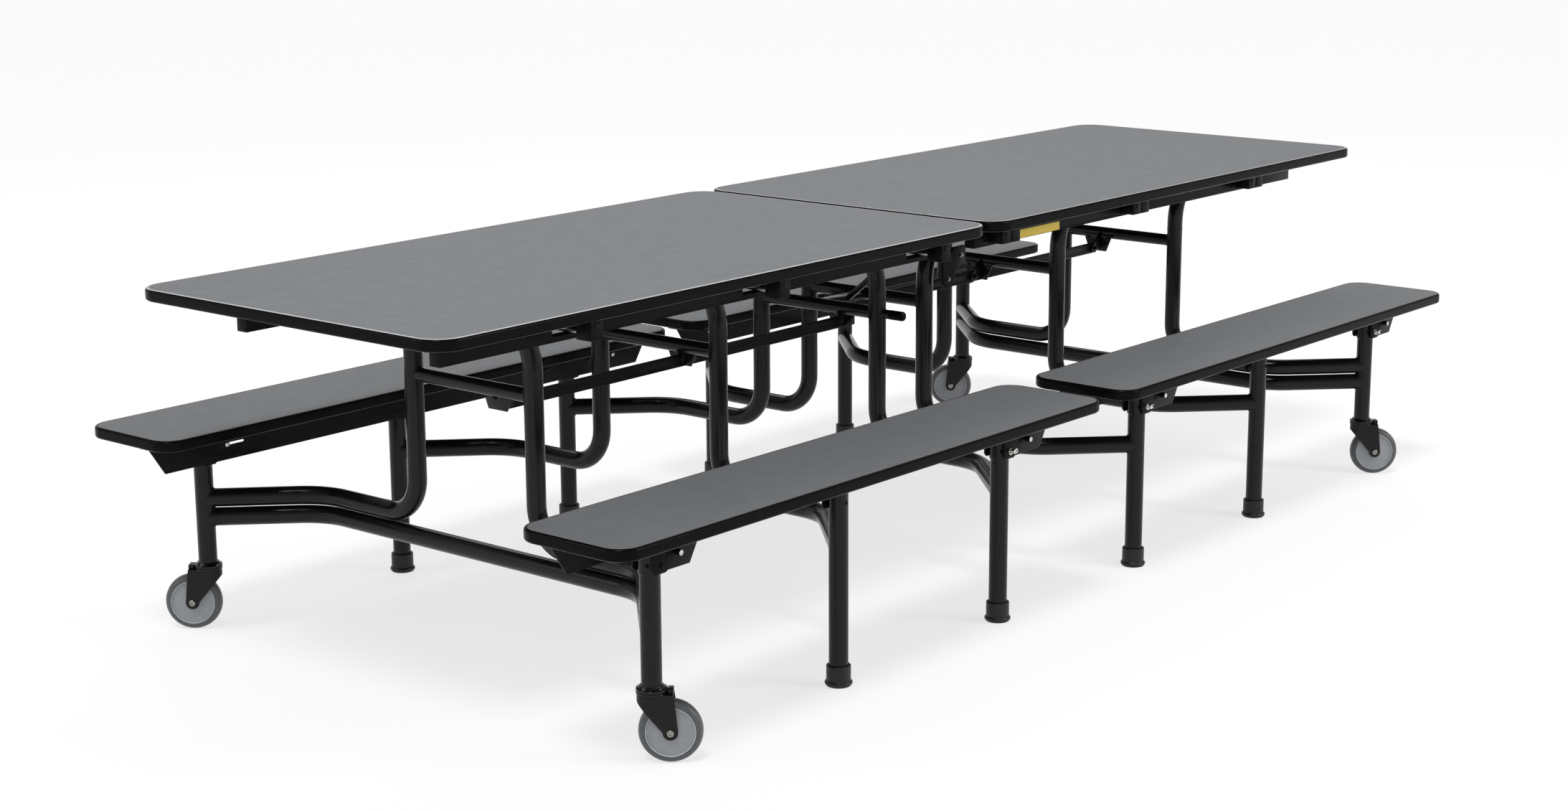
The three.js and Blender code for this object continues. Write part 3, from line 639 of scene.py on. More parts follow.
def tube_tree():
    """Round tube along polylines, each corner bent to its own radius."""
    made, given = tree("bent_tube", Radius="Float", Sides="Int", Steps="Int", Finish="Material")
    path = step(made, "GeometryNodeMeshToCurve", Mesh=given["Geometry"]).outputs["Curve"]
    bent = step(made, "GeometryNodeFilletCurve", "POLY", Curve=path, Radius=named(made, "bend", "FLOAT"),
                Count=given["Steps"])
    ring = step(made, "GeometryNodeCurvePrimitiveCircle", Resolution=given["Sides"], Radius=given["Radius"])
    skin = step(made, "GeometryNodeCurveToMesh", Curve=bent.outputs["Curve"],
                Profile_Curve=ring.outputs["Curve"], Fill_Caps=True)
    ending(made, skin.outputs["Mesh"], given["Finish"])
    return made


def bead_tree():
    """A weld seam: overlapping drops along a path."""
    made, given = tree("weld_bead", Pitch="Float", Drop="Float", Finish="Material")
    path = step(made, "GeometryNodeMeshToCurve", Mesh=given["Geometry"]).outputs["Curve"]
    spaced = step(made, "GeometryNodeResampleCurve", "LENGTH", Curve=path, Length=given["Pitch"])
    drop = step(made, "GeometryNodeMeshIcoSphere", Radius=given["Drop"], Subdivisions=2)
    tangent = step(made, "GeometryNodeInputTangent").outputs["Tangent"]
    along = step(made, "FunctionNodeAlignRotationToVector", Vector=tangent)
    seam = step(made, "GeometryNodeInstanceOnPoints", Points=spaced.outputs["Curve"],
                Instance=drop.outputs["Mesh"], Rotation=along.outputs["Rotation"])
    ending(made, seam.outputs["Instances"], given["Finish"])
    return made


def fastener_tree():
    """Copies of one fastener head on points, each standing along its own facing direction."""
    made, given = tree("fasteners", Head="Object", Size="Float", Finish="Material")
    points = step(made, "GeometryNodeMeshToPoints", Mesh=given["Geometry"]).outputs["Points"]
    head = step(made, "GeometryNodeObjectInfo", Object=given["Head"]).outputs["Geometry"]
    stand = step(made, "FunctionNodeAlignRotationToVector", Vector=named(made, "facing", "FLOAT_VECTOR"))
    stand.axis = "Z"
    set_out = step(made, "GeometryNodeInstanceOnPoints", Points=points, Instance=head,
                   Rotation=stand.outputs["Rotation"], Scale=given["Size"])
    ending(made, set_out.outputs["Instances"], given["Finish"])
    return made


def grown(seed, made, **values):
    """The plain mesh that a tree makes from a seed mesh."""
    carrier = bpy.data.objects.new("seed", seed)
    ROOT.objects.link(carrier)
    modifier = carrier.modifiers.new("grow", "NODES")
    modifier.node_group = made
    for item in made.interface.items_tree:
        if item.in_out == "INPUT" and item.name in values:
            modifier[item.identifier] = values[item.name]
    graph = bpy.context.evaluated_depsgraph_get()
    mesh = bpy.data.meshes.new_from_object(carrier.evaluated_get(graph))
    bpy.data.objects.remove(carrier)
    return smoothed(mesh)


TUBE_TREE = tube_tree()
BEAD_TREE = bead_tree()
FASTENER_TREE = fastener_tree()


def polylines(runs):
    """A seed of open runs, each a list of points with a bend radius for each point."""
    points = []
    edges = []
    bends = []
    for run, radii in runs:
        first = len(points)
        points += run
        bends += radii
        edges += [(i, i + 1) for i in range(first, len(points) - 1)]
    seed = bpy.data.meshes.new("runs")
    seed.from_pydata(points, edges, [])
    seed.attributes.new("bend", "FLOAT", "POINT").data.foreach_set("value", bends)
    return seed


def tubes(radius, *runs, sides=TUBE_SIDES):
    """Round tubes of one radius along runs."""
    return grown(polylines(runs), TUBE_TREE, Radius=radius, Sides=sides, Steps=BEND_STEPS, Finish=POWDER)


def straight(a, b):
    return ([a, b], [0.0, 0.0])


def beads(rings):
    """Weld seams round closed rings of points."""
    runs = [(ring + ring[:1], [0.0] * (len(ring) + 1)) for ring in rings]
    return grown(polylines(runs), BEAD_TREE, Pitch=WELD_PITCH, Drop=WELD_DROP, Finish=POWDER)


def saddle_ring(at, along, radius):
    """Where a level tube leaves an upright post; the seam sinks into the tube at its sides."""
    along = Vector(along).normalized()
    across = Vector((-along.y, along.x, 0))
    ring = []
    for i in range(SEAM_STEPS):
        turn = 2 * pi * i / SEAM_STEPS
        aside = SEAM_SHARE * radius * cos(turn)
        reach = sqrt(TUBE_RADIUS ** 2 - aside ** 2)
        rise = Vector((0, 0, radius * sin(turn)))
        ring.append(tuple(Vector(at) + along * reach + across * aside + rise))
    return ring


def fastener_head(kind):
    turnings = [lathe(profile, sides) for profile, sides in FASTENER_FORMS[kind]]
    return bpy.data.objects.new(kind, merged(*turnings))


HEADS = {kind: fastener_head(kind) for kind in FASTENER_FORMS}


def fasteners(kind, points, size=1.0):
    """One mesh of fasteners at (point, facing) pairs."""
    seed = bpy.data.meshes.new("points")
    seed.from_pydata([point for point, _ in points], [], [])
    directions = [value for _, direction in points for value in direction]
    seed.attributes.new("facing", "FLOAT_VECTOR", "POINT").data.foreach_set("vector", directions)
    return grown(seed, FASTENER_TREE, Head=HEADS[kind], Size=size, Finish=ZINC)


# Boards: laminate panels and their black edge bands
def rounded_outline(x0, x1, y0, y1, radius):
    corners = ((x1 - radius, y1 - radius), (x0 + radius, y1 - radius),
               (x0 + radius, y0 + radius), (x1 - radius, y0 + radius))
    points = []
    for quarter, (x, y) in enumerate(corners):
        for i in range(CORNER_STEPS + 1):
            turn = (quarter + i / CORNER_STEPS) * pi / 2
            points.append((x + radius * cos(turn), y + radius * sin(turn)))
    return points


def rings_round(box, profile, capped):
    """Rings at (inset, height) steps round a board's outline, joined in order into a panel or a band."""
    shape = bmesh.new()
    x0, x1, y0, y1, corner = box
    rings = []
    for inset, z in profile:
        outline = rounded_outline(x0 + inset, x1 - inset, y0 + inset, y1 - inset, corner - inset)
        rings.append([shape.verts.new((x, y, z)) for x, y in outline])
    if capped:
        shape.faces.new(rings[0])
        shape.faces.new(rings[-1])
    for low, high in zip(rings, rings[1:]):
        bridge(shape, low, high)
    if not capped:
        bridge(shape, rings[-1], rings[0])
    return mesh_from(shape, BOARD_SMOOTH_ANGLE)


def panel_mesh(box, top):
    low = top - BOARD_THICKNESS
    profile = [(EDGE_BAND, low), (EDGE_BAND, top - PANEL_EASE), (EDGE_BAND + PANEL_EASE, top)]
    return rings_round(box, profile, True)


def band_mesh(box, top):
    low = top - BOARD_THICKNESS
    quarter = [pi / 2 * i / BAND_STEPS for i in range(BAND_STEPS + 1)]
    profile = [(EDGE_BAND, top - BAND_LIP), (EDGE_BAND - BAND_LIP, top - BAND_DROP)]
    profile += [(BULLNOSE * (1 - sin(turn)), top - BULLNOSE * (1 - cos(turn))) for turn in quarter]
    profile += [(BULLNOSE * (1 - cos(turn)), low + BULLNOSE * (1 - sin(turn))) for turn in quarter]
    profile += [(EDGE_BAND - BAND_LIP, low), (EDGE_BAND, low + BAND_LIP)]
    return rings_round(box, profile, False)


def highlight_line_mesh(box, top, turn):
    """A painted highlight: a thin pale line from the panel over the band's round, by a turn, where the band's
    round top catches the light.
    """
    shares = [i / HIGHLIGHT_LINE_STEPS for i in range(HIGHLIGHT_LINE_STEPS + 1)]

    def over_round(lift, share):
        reach = BULLNOSE + lift
        return BULLNOSE - reach * sin(turn * share), top - BULLNOSE + reach * cos(turn * share)

    under = [(HIGHLIGHT_LINE_LAP, top + HIGHLIGHT_LINE_SUNK)] + [over_round(HIGHLIGHT_LINE_SUNK, share) for share in shares]
    over = [(HIGHLIGHT_LINE_LAP, top + HIGHLIGHT_LINE_PROUD)] + [over_round(HIGHLIGHT_LINE_PROUD, share) for share in shares]
    return rings_round(box, under + over[::-1], False)


def sides_of(half):
    """The half's own side signs with their words: the left half is turned round."""
    return [(side, "front" if HALVES[half] * side < 0 else "rear") for side in (-1, 1)]


def make_boards(half):
    top = f"{half}_top"
    leaf = (LEAF_START, LEAF_START + LEAF_LENGTH, -LEAF_WIDTH / 2, LEAF_WIDTH / 2, LEAF_CORNER)
    panel = panel_mesh(leaf, TABLE_HEIGHT)
    half_piece(half, "leaf_board", panel, top, "laminate", LEAF_LAMINATE, f"{half}_top_panel")
    half_piece(half, "leaf_edge", band_mesh(leaf, TABLE_HEIGHT), top, "edge", EDGE, f"{half}_top_edge")
    # A pale line over the band's round is the edge's highlight, painted
    highlight_line = highlight_line_mesh(leaf, TABLE_HEIGHT, HIGHLIGHT_LINE_TURN[half])
    half_piece(half, "leaf_cut_line", highlight_line, top, "laminate", EDGE_HIGHLIGHT)
    for side, word in sides_of(half):
        middle = side * SEAT_Y
        seat = (SEAT_START, SEAT_START + SEAT_LENGTH, middle - SEAT_WIDTH / 2, middle + SEAT_WIDTH / 2,
                SEAT_CORNER)
        bench = f"{half}_{word}_bench"
        name = f"{word}_seat"
        half_piece(half, f"{name}_board", panel_mesh(seat, SEAT_HEIGHT), bench, "seat_board", SEAT_LAMINATE,
                   f"{half}_{name}")
        half_piece(half, f"{name}_edge", band_mesh(seat, SEAT_HEIGHT), bench, "edge", EDGE)


# Leg frames
def body_of(half, station):
    return "center_frame" if station == "center" else f"{half}_{station}_frame"


def arm_run(x, side):
    """An arm's path from its leg, in under the table, up and out to the pivot rod."""
    corner = LEAF_PIVOT_Z - HEAD_OUT / tan(HEAD_ANGLE)
    tip_x = x + HEAD_OUT + HEAD_OVERHANG * sin(HEAD_ANGLE)
    tip_z = LEAF_PIVOT_Z + HEAD_OVERHANG * cos(HEAD_ANGLE)
    run = [
        (x + LEG_OUT, side * LEG_Y, ARM_HEIGHT),
        (x, side * (LEG_Y - LEG_OUT), ARM_HEIGHT),
        (x, side * UPRIGHT_Y, ARM_HEIGHT),
        (x, side * UPRIGHT_Y, corner),
        (tip_x, side * UPRIGHT_Y, tip_z),
    ]
    return run, [0.0, PLAN_BEND, ARM_BEND, HEAD_BEND, 0.0]


def collar(x, y):
    """The wider top of a leg that takes a bench's pin."""
    low = LEG_TOP - COLLAR_HEIGHT
    eased = COLLAR_RADIUS - COLLAR_EASE
    profile = [(0, low), (eased, low), (COLLAR_RADIUS, low + COLLAR_EASE),
               (COLLAR_RADIUS, LEG_TOP - COLLAR_EASE), (eased, LEG_TOP), (0, LEG_TOP)]
    return lathe(profile, LEG_SIDES, Matrix.Translation((x, y, 0)))


def upright_ring(x, y):
    """The thin ring round an upright, above its cross tube."""
    low = TUBE_RADIUS - RING_SUNK
    high = TUBE_RADIUS + RING_PROUD
    profile = [(low, RING_HEIGHT - RING_HALF), (high, RING_HEIGHT - RING_HALF / 2),
               (high, RING_HEIGHT + RING_HALF / 2), (low, RING_HEIGHT + RING_HALF)]
    return lathe(profile, LEG_SIDES, Matrix.Translation((x, y, 0)))


def make_legs(half):
    for station, x in STATIONS.items():
        leg_x = x + LEG_OUT
        foot = CASTER_HEIGHT if station == "end" else GLIDE_FLOOR
        for side, word in sides_of(half):
            leg_y = side * LEG_Y
            leg = straight((leg_x, leg_y, foot), (leg_x, leg_y, LEG_TOP))
            parts = [tubes(TUBE_RADIUS, arm_run(x, side), leg)]
            if station != "mid":
                parts.append(collar(leg_x, leg_y))
            parts.append(upright_ring(x, side * UPRIGHT_Y))
            name = f"{station}_{word}_leg"
            half_piece(half, f"{name}_tube", merged(*parts), body_of(half, station), "frame", POWDER,
                       f"{half}_{name}")


def link_hanger(station, x):
    """The ear on a cross tube for the link bar, and a gusset behind it, split where the bar passes."""
    ear_high = LINK_Y - LINK_THICKNESS / 2 - LINK_PLAY
    ear = strap_outline((x, CROSS_HEIGHT), (x - LINK_SETBACK, LINK_Z), EAR_RADIUS)
    parts = [plate(ear, ear_high - EAR_THICKNESS, ear_high, SHEET_EASE)]
    face = x - CROSS_RADIUS
    left = [(-GUSSET_WIDE, GUSSET_TOP), (-GUSSET_NARROW, GUSSET_LOW)]
    right = [(GUSSET_NARROW, GUSSET_LOW), (GUSSET_WIDE, GUSSET_TOP)]
    outlines = [left + right]
    if station != "end":
        outlines = [left + [(-GUSSET_SPLIT, GUSSET_LOW), (-GUSSET_SPLIT, GUSSET_TOP)],
                    [(GUSSET_SPLIT, GUSSET_TOP), (GUSSET_SPLIT, GUSSET_LOW)] + right]
    for outline in outlines:
        gusset = [(LINK_Y + y, z) for y, z in outline]
        parts.append(plate_across(gusset, face - GUSSET_THICKNESS, face, GUSSET_EASE))
    screws = [((face - GUSSET_THICKNESS, LINK_Y + aside, GUSSET_SCREW_Z), (-1, 0, 0))
              for aside in (-GUSSET_SCREW_Y, GUSSET_SCREW_Y)]
    return parts, screws


def link_bolt(x, screws):
    """A link bar's bolt, nut and pin at a cross tube, and the screws of the gusset."""
    pin_x = x - LINK_SETBACK
    head_y = LINK_Y + LINK_THICKNESS / 2 + LINK_PLAY
    tail = (pin_x, LINK_Y - LINK_THICKNESS / 2 - EAR_THICKNESS - LINK_PLAY, LINK_Z)
    return merged(
        fasteners("hex_bolt", [((pin_x, head_y, LINK_Z), (0, 1, 0))]),
        fasteners("nut", [(tail, (0, -1, 0))], size=0.9),
        fasteners("screw", screws, size=1.1),
        tubes(LINK_PIN_RADIUS, straight(tail, (pin_x, head_y + PIN_SUNK, LINK_Z)), sides=PIN_SIDES),
    )


def handle_cap(x, end):
    """The black cap on a lifting handle's end."""
    grip = HANDLE_RADIUS + CAP_WALL
    profile = [(0, 0), (grip, 0), (grip, 0.030), (grip - 0.001, 0.0325), (grip - 0.0035, 0.034),
               (0, CAP_LENGTH)]
    return lathe(profile, CAP_SIDES, facing((x, end - CAP_LENGTH, CROSS_HEIGHT), (0, 1, 0)))


def centre_tie(x):
    """The tie between the two centre cross tubes, and its lever."""
    tie = block((-x, -TIE_HALF_WIDTH, CROSS_HEIGHT - TIE_HALF_HEIGHT),
                (x, TIE_HALF_WIDTH, CROSS_HEIGHT + TIE_HALF_HEIGHT), 0.001)
    lever = strap_outline((LEVER_FOOT, CROSS_HEIGHT), LEVER_TIP, LEVER_RADIUS)
    return [tie, plate_across(lever, -LEVER_HALF, LEVER_HALF, 0.0008)]


def make_cross_tubes(half):
    for station, x in STATIONS.items():
        parts, screws = link_hanger(station, x)
        tube = straight((x, -UPRIGHT_Y, CROSS_HEIGHT), (x, UPRIGHT_Y, CROSS_HEIGHT))
        parts.append(tubes(CROSS_RADIUS, tube))
        body = body_of(half, station)
        name = f"{station}_cross_tube"
        node = f"{half}_{name}"
        if station == "center":
            node = "center_cross_frame"
            end = UPRIGHT_Y + HANDLE_REACH
            handle = straight((x, UPRIGHT_Y - 2 * TUBE_RADIUS, CROSS_HEIGHT),
                              (x, end - HANDLE_SUNK, CROSS_HEIGHT))
            parts.append(tubes(HANDLE_RADIUS, handle))
            half_piece(half, "handle_cap", handle_cap(x, end), body, "glide", EDGE)
            if half == "left":
                parts += centre_tie(x)
        half_piece(half, f"{name}_bar", merged(*parts), body, "frame", POWDER, node)
        half_piece(half, f"{name}_link_bolt", link_bolt(x, screws), body, "frame", POWDER)


def make_lower_tube(half):
    x = STATIONS["end"]
    inner = LEG_Y - LEG_OUT
    run = [(x + LEG_OUT, -LEG_Y, LOWER_TUBE_Z), (x, -inner, LOWER_TUBE_Z), (x, inner, LOWER_TUBE_Z),
           (x + LEG_OUT, LEG_Y, LOWER_TUBE_Z)]
    tube = tubes(TUBE_RADIUS, (run, [0.0, PLAN_BEND, PLAN_BEND, 0.0]))
    name = "end_lower_tube"
    half_piece(half, f"{name}_bend", tube, body_of(half, "end"), "frame", POWDER, f"{half}_{name}")


def make_welds(half):
    """Seams where arms and lower tubes meet the legs, and where cross tubes meet the uprights."""
    for station, x in STATIONS.items():
        rings = []
        for side in (-1, 1):
            inwards = (-1, -side, 0)
            rings.append(saddle_ring((x + LEG_OUT, side * LEG_Y, ARM_HEIGHT), inwards, TUBE_RADIUS))
            if station == "end":
                rings.append(saddle_ring((x + LEG_OUT, side * LEG_Y, LOWER_TUBE_Z), inwards, TUBE_RADIUS))
            post = (x, side * UPRIGHT_Y, CROSS_HEIGHT)
            rings.append(saddle_ring(post, (0, -side, 0), CROSS_RADIUS))
            if station == "center" and side > 0:
                rings.append(saddle_ring(post, (0, 1, 0), HANDLE_RADIUS))
        half_piece(half, f"{station}_weld_seams", beads(rings), body_of(half, station), "frame", POWDER)


def wide_block(pivot):
    """The block about a rod's short end, slit from its end face."""
    end = -ROD_SHORT_REACH
    back = pivot - BLOCK_BACK
    front = pivot + BLOCK_FRONT
    slit_x = pivot - BLOCK_FRONT - BLOCK_SLIT
    slit_y = end + BLOCK_SLIT_DEPTH
    plan = [(back, end), (slit_x, end), (slit_x, slit_y), (slit_x + BLOCK_SLIT, slit_y),
            (slit_x + BLOCK_SLIT, end), (front, end), (front, end + BLOCK_LENGTH), (back, end + BLOCK_LENGTH)]
    made = plate([(x, -y) for x, y in plan], BLOCK_LOW, LEAF_LOW, BLOCK_EASE)
    made.transform(Matrix.Rotation(pi / 2, 4, "X"))
    return made


def narrow_block(pivot):
    """The plain block about a rod's long end."""
    return block((pivot - BLOCK_FRONT, ROD_LONG_REACH - BLOCK_LENGTH, BLOCK_LOW),
                 (pivot + BLOCK_FRONT, ROD_LONG_REACH, LEAF_LOW), BLOCK_EASE)


def make_rods(half):
    """Zinc rods in black bearing blocks, with a screw in each block's end face."""
    top = f"{half}_top"
    for station, x in STATIONS.items():
        pivot = x + HEAD_OUT
        name = f"{station}_pivot_rod"
        run = straight((pivot, ROD_SUNK - ROD_SHORT_REACH, LEAF_PIVOT_Z),
                       (pivot, ROD_LONG_REACH - ROD_SUNK, LEAF_PIVOT_Z))
        rod = tubes(ROD_RADIUS, run, sides=ROD_SIDES)
        # The rods take the darker zinc: painted shade under the leaf
        half_piece(half, f"{name}_bar", rod, top, "zinc", SHADED_DULL_ZINC, f"{half}_{name}")
        blocks = merged(wide_block(pivot), narrow_block(pivot))
        half_piece(half, f"{name}_blocks", blocks, top, "frame", SHEET_COAT)
        ends = ((WIDE_BLOCK_SCREW, -ROD_SHORT_REACH, -1), (NARROW_BLOCK_SCREW, ROD_LONG_REACH, 1))
        screws = [((pivot + aside, y, LEAF_PIVOT_Z + rise), (0, out, 0)) for (aside, rise), y, out in ends]
        half_piece(half, f"{name}_block_screws", fasteners("screw", screws, size=0.9), top, "frame", POWDER)


def make_sheet_steel():
    """Rails, link bars, bench channels and the latch keep their solids' shapes, with eased edges."""
    for half in HALVES:
        for word in ("front", "rear"):
            rail = f"{half}_{word}_rail"
            piece(f"{rail}_steel", softened(rail, SHEET_EASE), f"{half}_top", "frame", SHEET_COAT, rail)
            bench = f"{half}_{word}_bench"
            channel = f"{bench}_channel"
            piece(f"{channel}_steel", softened(channel, SHEET_EASE), bench, "frame", SHEET_COAT, channel)
        link = f"{half}_link_bar"
        piece(f"{link}_steel", softened(link, LINK_EASE), f"{half}_link", "frame", SHEET_COAT, link)
    latch = "center_latch"
    piece(f"{latch}_plate", softened(latch, LATCH_EASE), latch, "frame", SHEET_COAT, latch)


# Bench fittings, the latch's bolts and the plate on the rail
def cotter(at, out):
    """A split pin through the end of a pivot pin along y: an eye, and two legs spread a little."""
    x, y, z = at
    run = [(x + along, y + out * COTTER_OUT, z + up) for along, up in COTTER_PATH]
    return run, [0.0] + [COTTER_BEND] * (len(run) - 2) + [0.0]


def leg_hole_shades(leg, x, y):
    """Drilled holes in a front leg's top, on the side where they show, each a dark disc: painted shade for
    the hole's inside.
    """
    half, _, station = leg
    front = -HALVES[half]
    radius = COLLAR_RADIUS
    facings = [(front * HOLE_FACING[0], front * HOLE_FACING[1])]
    if station == "mid":
        radius = TUBE_RADIUS
        facings = [(0.0, front)]
    elif leg == CORNER_LEG:
        facings = CORNER_HOLE_FACINGS
    holes = []
    for out_x, out_y in facings:
        holes.append(((x + radius * out_x, y + radius * out_y, BENCH_PIVOT_Z), (out_x, out_y, 0)))
    return fasteners("plug", holes)


def flared_cup(x, y):
    """The open flared cup under a seat, over a middle leg's top."""
    low = LEG_TOP + CUP_GAP
    high = SEAT_LOW - CUP_DROP
    profile = [(0.0170, low), (0.0186, low), (0.0188, low + 0.010), (0.0205, low + 0.019), (0.0262, high),
               (0.0246, high), (0.0190, low + 0.020), (0.0172, low + 0.010)]
    return lathe(profile, LEG_SIDES, Matrix.Translation((x, y, 0)))


def shade_patch(x, face, side):
    """A dark patch just proud of a stop plate's face, beside its stud: painted shade."""
    low, high = sorted((face - side * THIN_EDGE, face + side * NOTCH_PROUD))
    return block((x - NOTCH_HALF, low, NOTCH_LOW), (x + NOTCH_HALF, high, NOTCH_HIGH), THIN_EDGE)


def apron_bolts(side, places):
    bolts = []
    for station, aside in places:
        bolts.append(((STATIONS[station] + LEG_OUT + aside, side * APRON_FACE, APRON_BOLT_Z), (0, -side, 0)))
    return bolts


def make_bench_fittings(half):
    """Pivot pins with split pins or knobs, the front stop plates' studs with painted shade in their ends and
    dark patches of painted shade beside them, cups and apron bolts.
    """
    front = -HALVES[half]
    stud_z = BENCH_PIVOT_Z + STUD_RISE
    for side, word in sides_of(half):
        bench = f"{half}_{word}_bench"
        pins, cotters, washers, knobs, tips, studs, shade_patches, cups = ([] for _ in range(8))
        for station, x in STATIONS.items():
            leg = (half, word, station)
            leg_x = x + LEG_OUT
            inner = side * (LEG_Y - CHEEK_FACE)
            outer = side * (LEG_Y + (CHEEK_FACE if station in STUD_OUT else TUBE_RADIUS - PIN_SUNK))
            pins.append(straight((leg_x, inner, BENCH_PIVOT_Z), (leg_x, outer, BENCH_PIVOT_Z)))
            if word == "front":
                # The holes are dark discs of painted shade
                holes = leg_hole_shades(leg, leg_x, side * LEG_Y)
                half_piece(half, f"{station}_{word}_leg_holes", holes, body_of(half, station), "frame", HOLE_SHADE)
            if station == "mid":
                knobs.append(((leg_x, inner, BENCH_PIVOT_Z), (0, -side, 0)))
                cups.append(flared_cup(leg_x, side * LEG_Y))
                continue
            ends = {-side: inner, side: outer}
            pin_end = (leg_x, ends[front], BENCH_PIVOT_Z)
            if leg != CORNER_LEG:
                washers.append((pin_end, (0, front, 0)))
                cotters.append(cotter(pin_end, front))
                tips.append(straight(pin_end, (leg_x, ends[front] + front * PIN_TIP, BENCH_PIVOT_Z)))
            knobs.append(((leg_x, ends[-front], BENCH_PIVOT_Z), (0, -front, 0)))
            if word == "front":
                stud_x = leg_x - side * STUD_OUT[station]
                stud_end = (stud_x, outer + side * STUD_LENGTH, stud_z)
                pins.append(straight((stud_x, outer - side * STUD_SUNK, stud_z), stud_end))
                studs.append((stud_end, (0, side, 0)))
                shade_patches.append(shade_patch(stud_x + side * NOTCH_OUT, outer, side))
        steel = [
            tubes(COTTER_RADIUS, *cotters, sides=COTTER_SIDES),
            tubes(PIN_TIP_RADIUS, *tips, sides=PIN_SIDES),
            fasteners("washer", washers, size=0.55),
            fasteners("screw", apron_bolts(side, BRIGHT_APRON_BOLTS), size=1.2),
        ]
        if studs:
            steel.append(fasteners("washer", studs, size=0.48))
            # Painted shade: dark discs in the studs' ends and dark patches beside them
            dark = merged(fasteners("plug", studs, size=0.55), *shade_patches)
            half_piece(half, f"{word}_bench_notches", dark, bench, "frame", HOLE_SHADE)
        half_piece(half, f"{word}_bench_pins_and_bolts", merged(*steel), bench, "zinc", ZINC)
        black = merged(tubes(PIN_RADIUS, *pins, sides=PIN_SIDES), fasteners("knob", knobs),
                       fasteners("screw", apron_bolts(side, BLACK_APRON_BOLTS)), *cups)
        half_piece(half, f"{word}_bench_knobs", black, bench, "frame", POWDER)


def make_latch_fittings():
    bolts = [((x, LATCH_FACE, z), (0, -1, 0)) for x, z in LATCH_BOLTS]
    piece("center_latch_bolts", fasteners("hex_bolt", bolts, size=0.6), "center_latch", "zinc", SHADED_DULL_ZINC)


def make_rail_plate():
    left, right = RAIL_PLATE_X
    low, high = RAIL_PLATE_Z
    mesh = block((left, -RAIL_FACE - RAIL_PLATE_PROUD, low), (right, -RAIL_FACE + THIN_EDGE, high), THIN_EDGE)
    piece("right_front_rail_plate", mesh, "right_top", "zinc", YELLOW)


# Feet
def make_glides(half):
    wall, flare, bore, top = GLIDE_WALL, GLIDE_FLARE, GLIDE_BORE, GLIDE_HEIGHT
    profile = [(0, 0), (wall - 0.002, 0), (wall, 0.0006), (flare - 0.0012, 0.003), (flare, 0.005),
               (flare, 0.0075), (flare - 0.0012, 0.0095), (wall, 0.0112), (wall, top - 0.0015),
               (wall - 0.0015, top), (bore + 0.0006, top), (bore, top - 0.0006), (bore, GLIDE_FLOOR),
               (0, GLIDE_FLOOR)]
    for station in ("center", "mid"):
        for side, word in sides_of(half):
            name = f"{station}_{word}_glide"
            place = Matrix.Translation((STATIONS[station] + LEG_OUT, side * LEG_Y, 0))
            cup = lathe(profile, GLIDE_SIDES, place)
            half_piece(half, f"{name}_cup", cup, body_of(half, station), "glide", GLIDE, f"{half}_{name}")


def fork_sheet():
    """The fork as one bent sheet: a round front under the race, and two sides down to the axle eyes."""
    low_front = CROWN_TOP - FORK_LIP
    axle_x, axle_z = CASTER_TRAIL, WHEEL_RADIUS
    eye_front = axle_x - FORK_EYE

    def lower(x):
        if x < eye_front:
            return low_front + (x + CROWN_BACK) / (eye_front + CROWN_BACK) * (axle_z - low_front)
        return axle_z - sqrt(max(FORK_EYE ** 2 - (x - axle_x) ** 2, 0))

    def upper(x):
        share = max(x - CROWN_FRONT, 0) / (axle_x + FORK_EYE - CROWN_FRONT)
        return CROWN_TOP - share * (CROWN_TOP - axle_z - FORK_EASE)

    middle = FORK_INNER + FORK_WALL / 2
    centre = middle - CROWN_BACK
    xs = [axle_x + FORK_EYE * cos(pi * i / EYE_STEPS) for i in range(EYE_STEPS + 1)]
    xs += [centre + (eye_front - centre) * (1 - i / FORK_STEPS) for i in range(1, FORK_STEPS)]
    plan = [(x, middle) for x in xs]
    for i in range(CROWN_STEPS + 1):
        turn = pi / 2 + pi * i / CROWN_STEPS
        plan.append((centre + middle * cos(turn), middle * sin(turn)))
    plan += [(x, -middle) for x in reversed(xs)]
    shape = bmesh.new()
    rows = []
    for x, y in plan:
        heights = [lower(x) + (upper(x) - lower(x)) * i / FORK_ROWS for i in range(FORK_ROWS + 1)]
        rows.append([shape.verts.new((x, y, z)) for z in heights])
    for first, second in zip(rows, rows[1:]):
        for i in range(FORK_ROWS):
            shape.faces.new((first[i], second[i], second[i + 1], first[i + 1]))
    bmesh.ops.recalc_face_normals(shape, faces=shape.faces)
    bmesh.ops.solidify(shape, geom=shape.faces, thickness=FORK_WALL)
    return plain_mesh(shape)


def caster_fork():
    """The bent sheet, the crown plate across its top and the stop tab in front."""
    half_width = FORK_OUTER - FORK_EASE
    crown = block((-CROWN_PLATE_BACK, -half_width, CROWN_LOW),
                  (CROWN_PLATE_FRONT, half_width, CROWN_TOP), 0.0008)
    tab = block((CROWN_FRONT - TAB_LENGTH, -TAB_HALF, CROWN_LOW),
                (CROWN_FRONT, TAB_HALF, CROWN_TOP + TAB_RISE), 0.001)
    return merged(fork_sheet(), crown, tab)


def caster_axle():
    end = FORK_OUTER + AXLE_PROUD
    bar = straight((CASTER_TRAIL, -end, WHEEL_RADIUS), (CASTER_TRAIL, end, WHEEL_RADIUS))
    heads = [((CASTER_TRAIL, out * FORK_OUTER, WHEEL_RADIUS), (0, out, 0)) for out in (-1, 1)]
    return merged(tubes(AXLE_RADIUS, bar, sides=ROD_SIDES), fasteners("socket_bolt", heads))


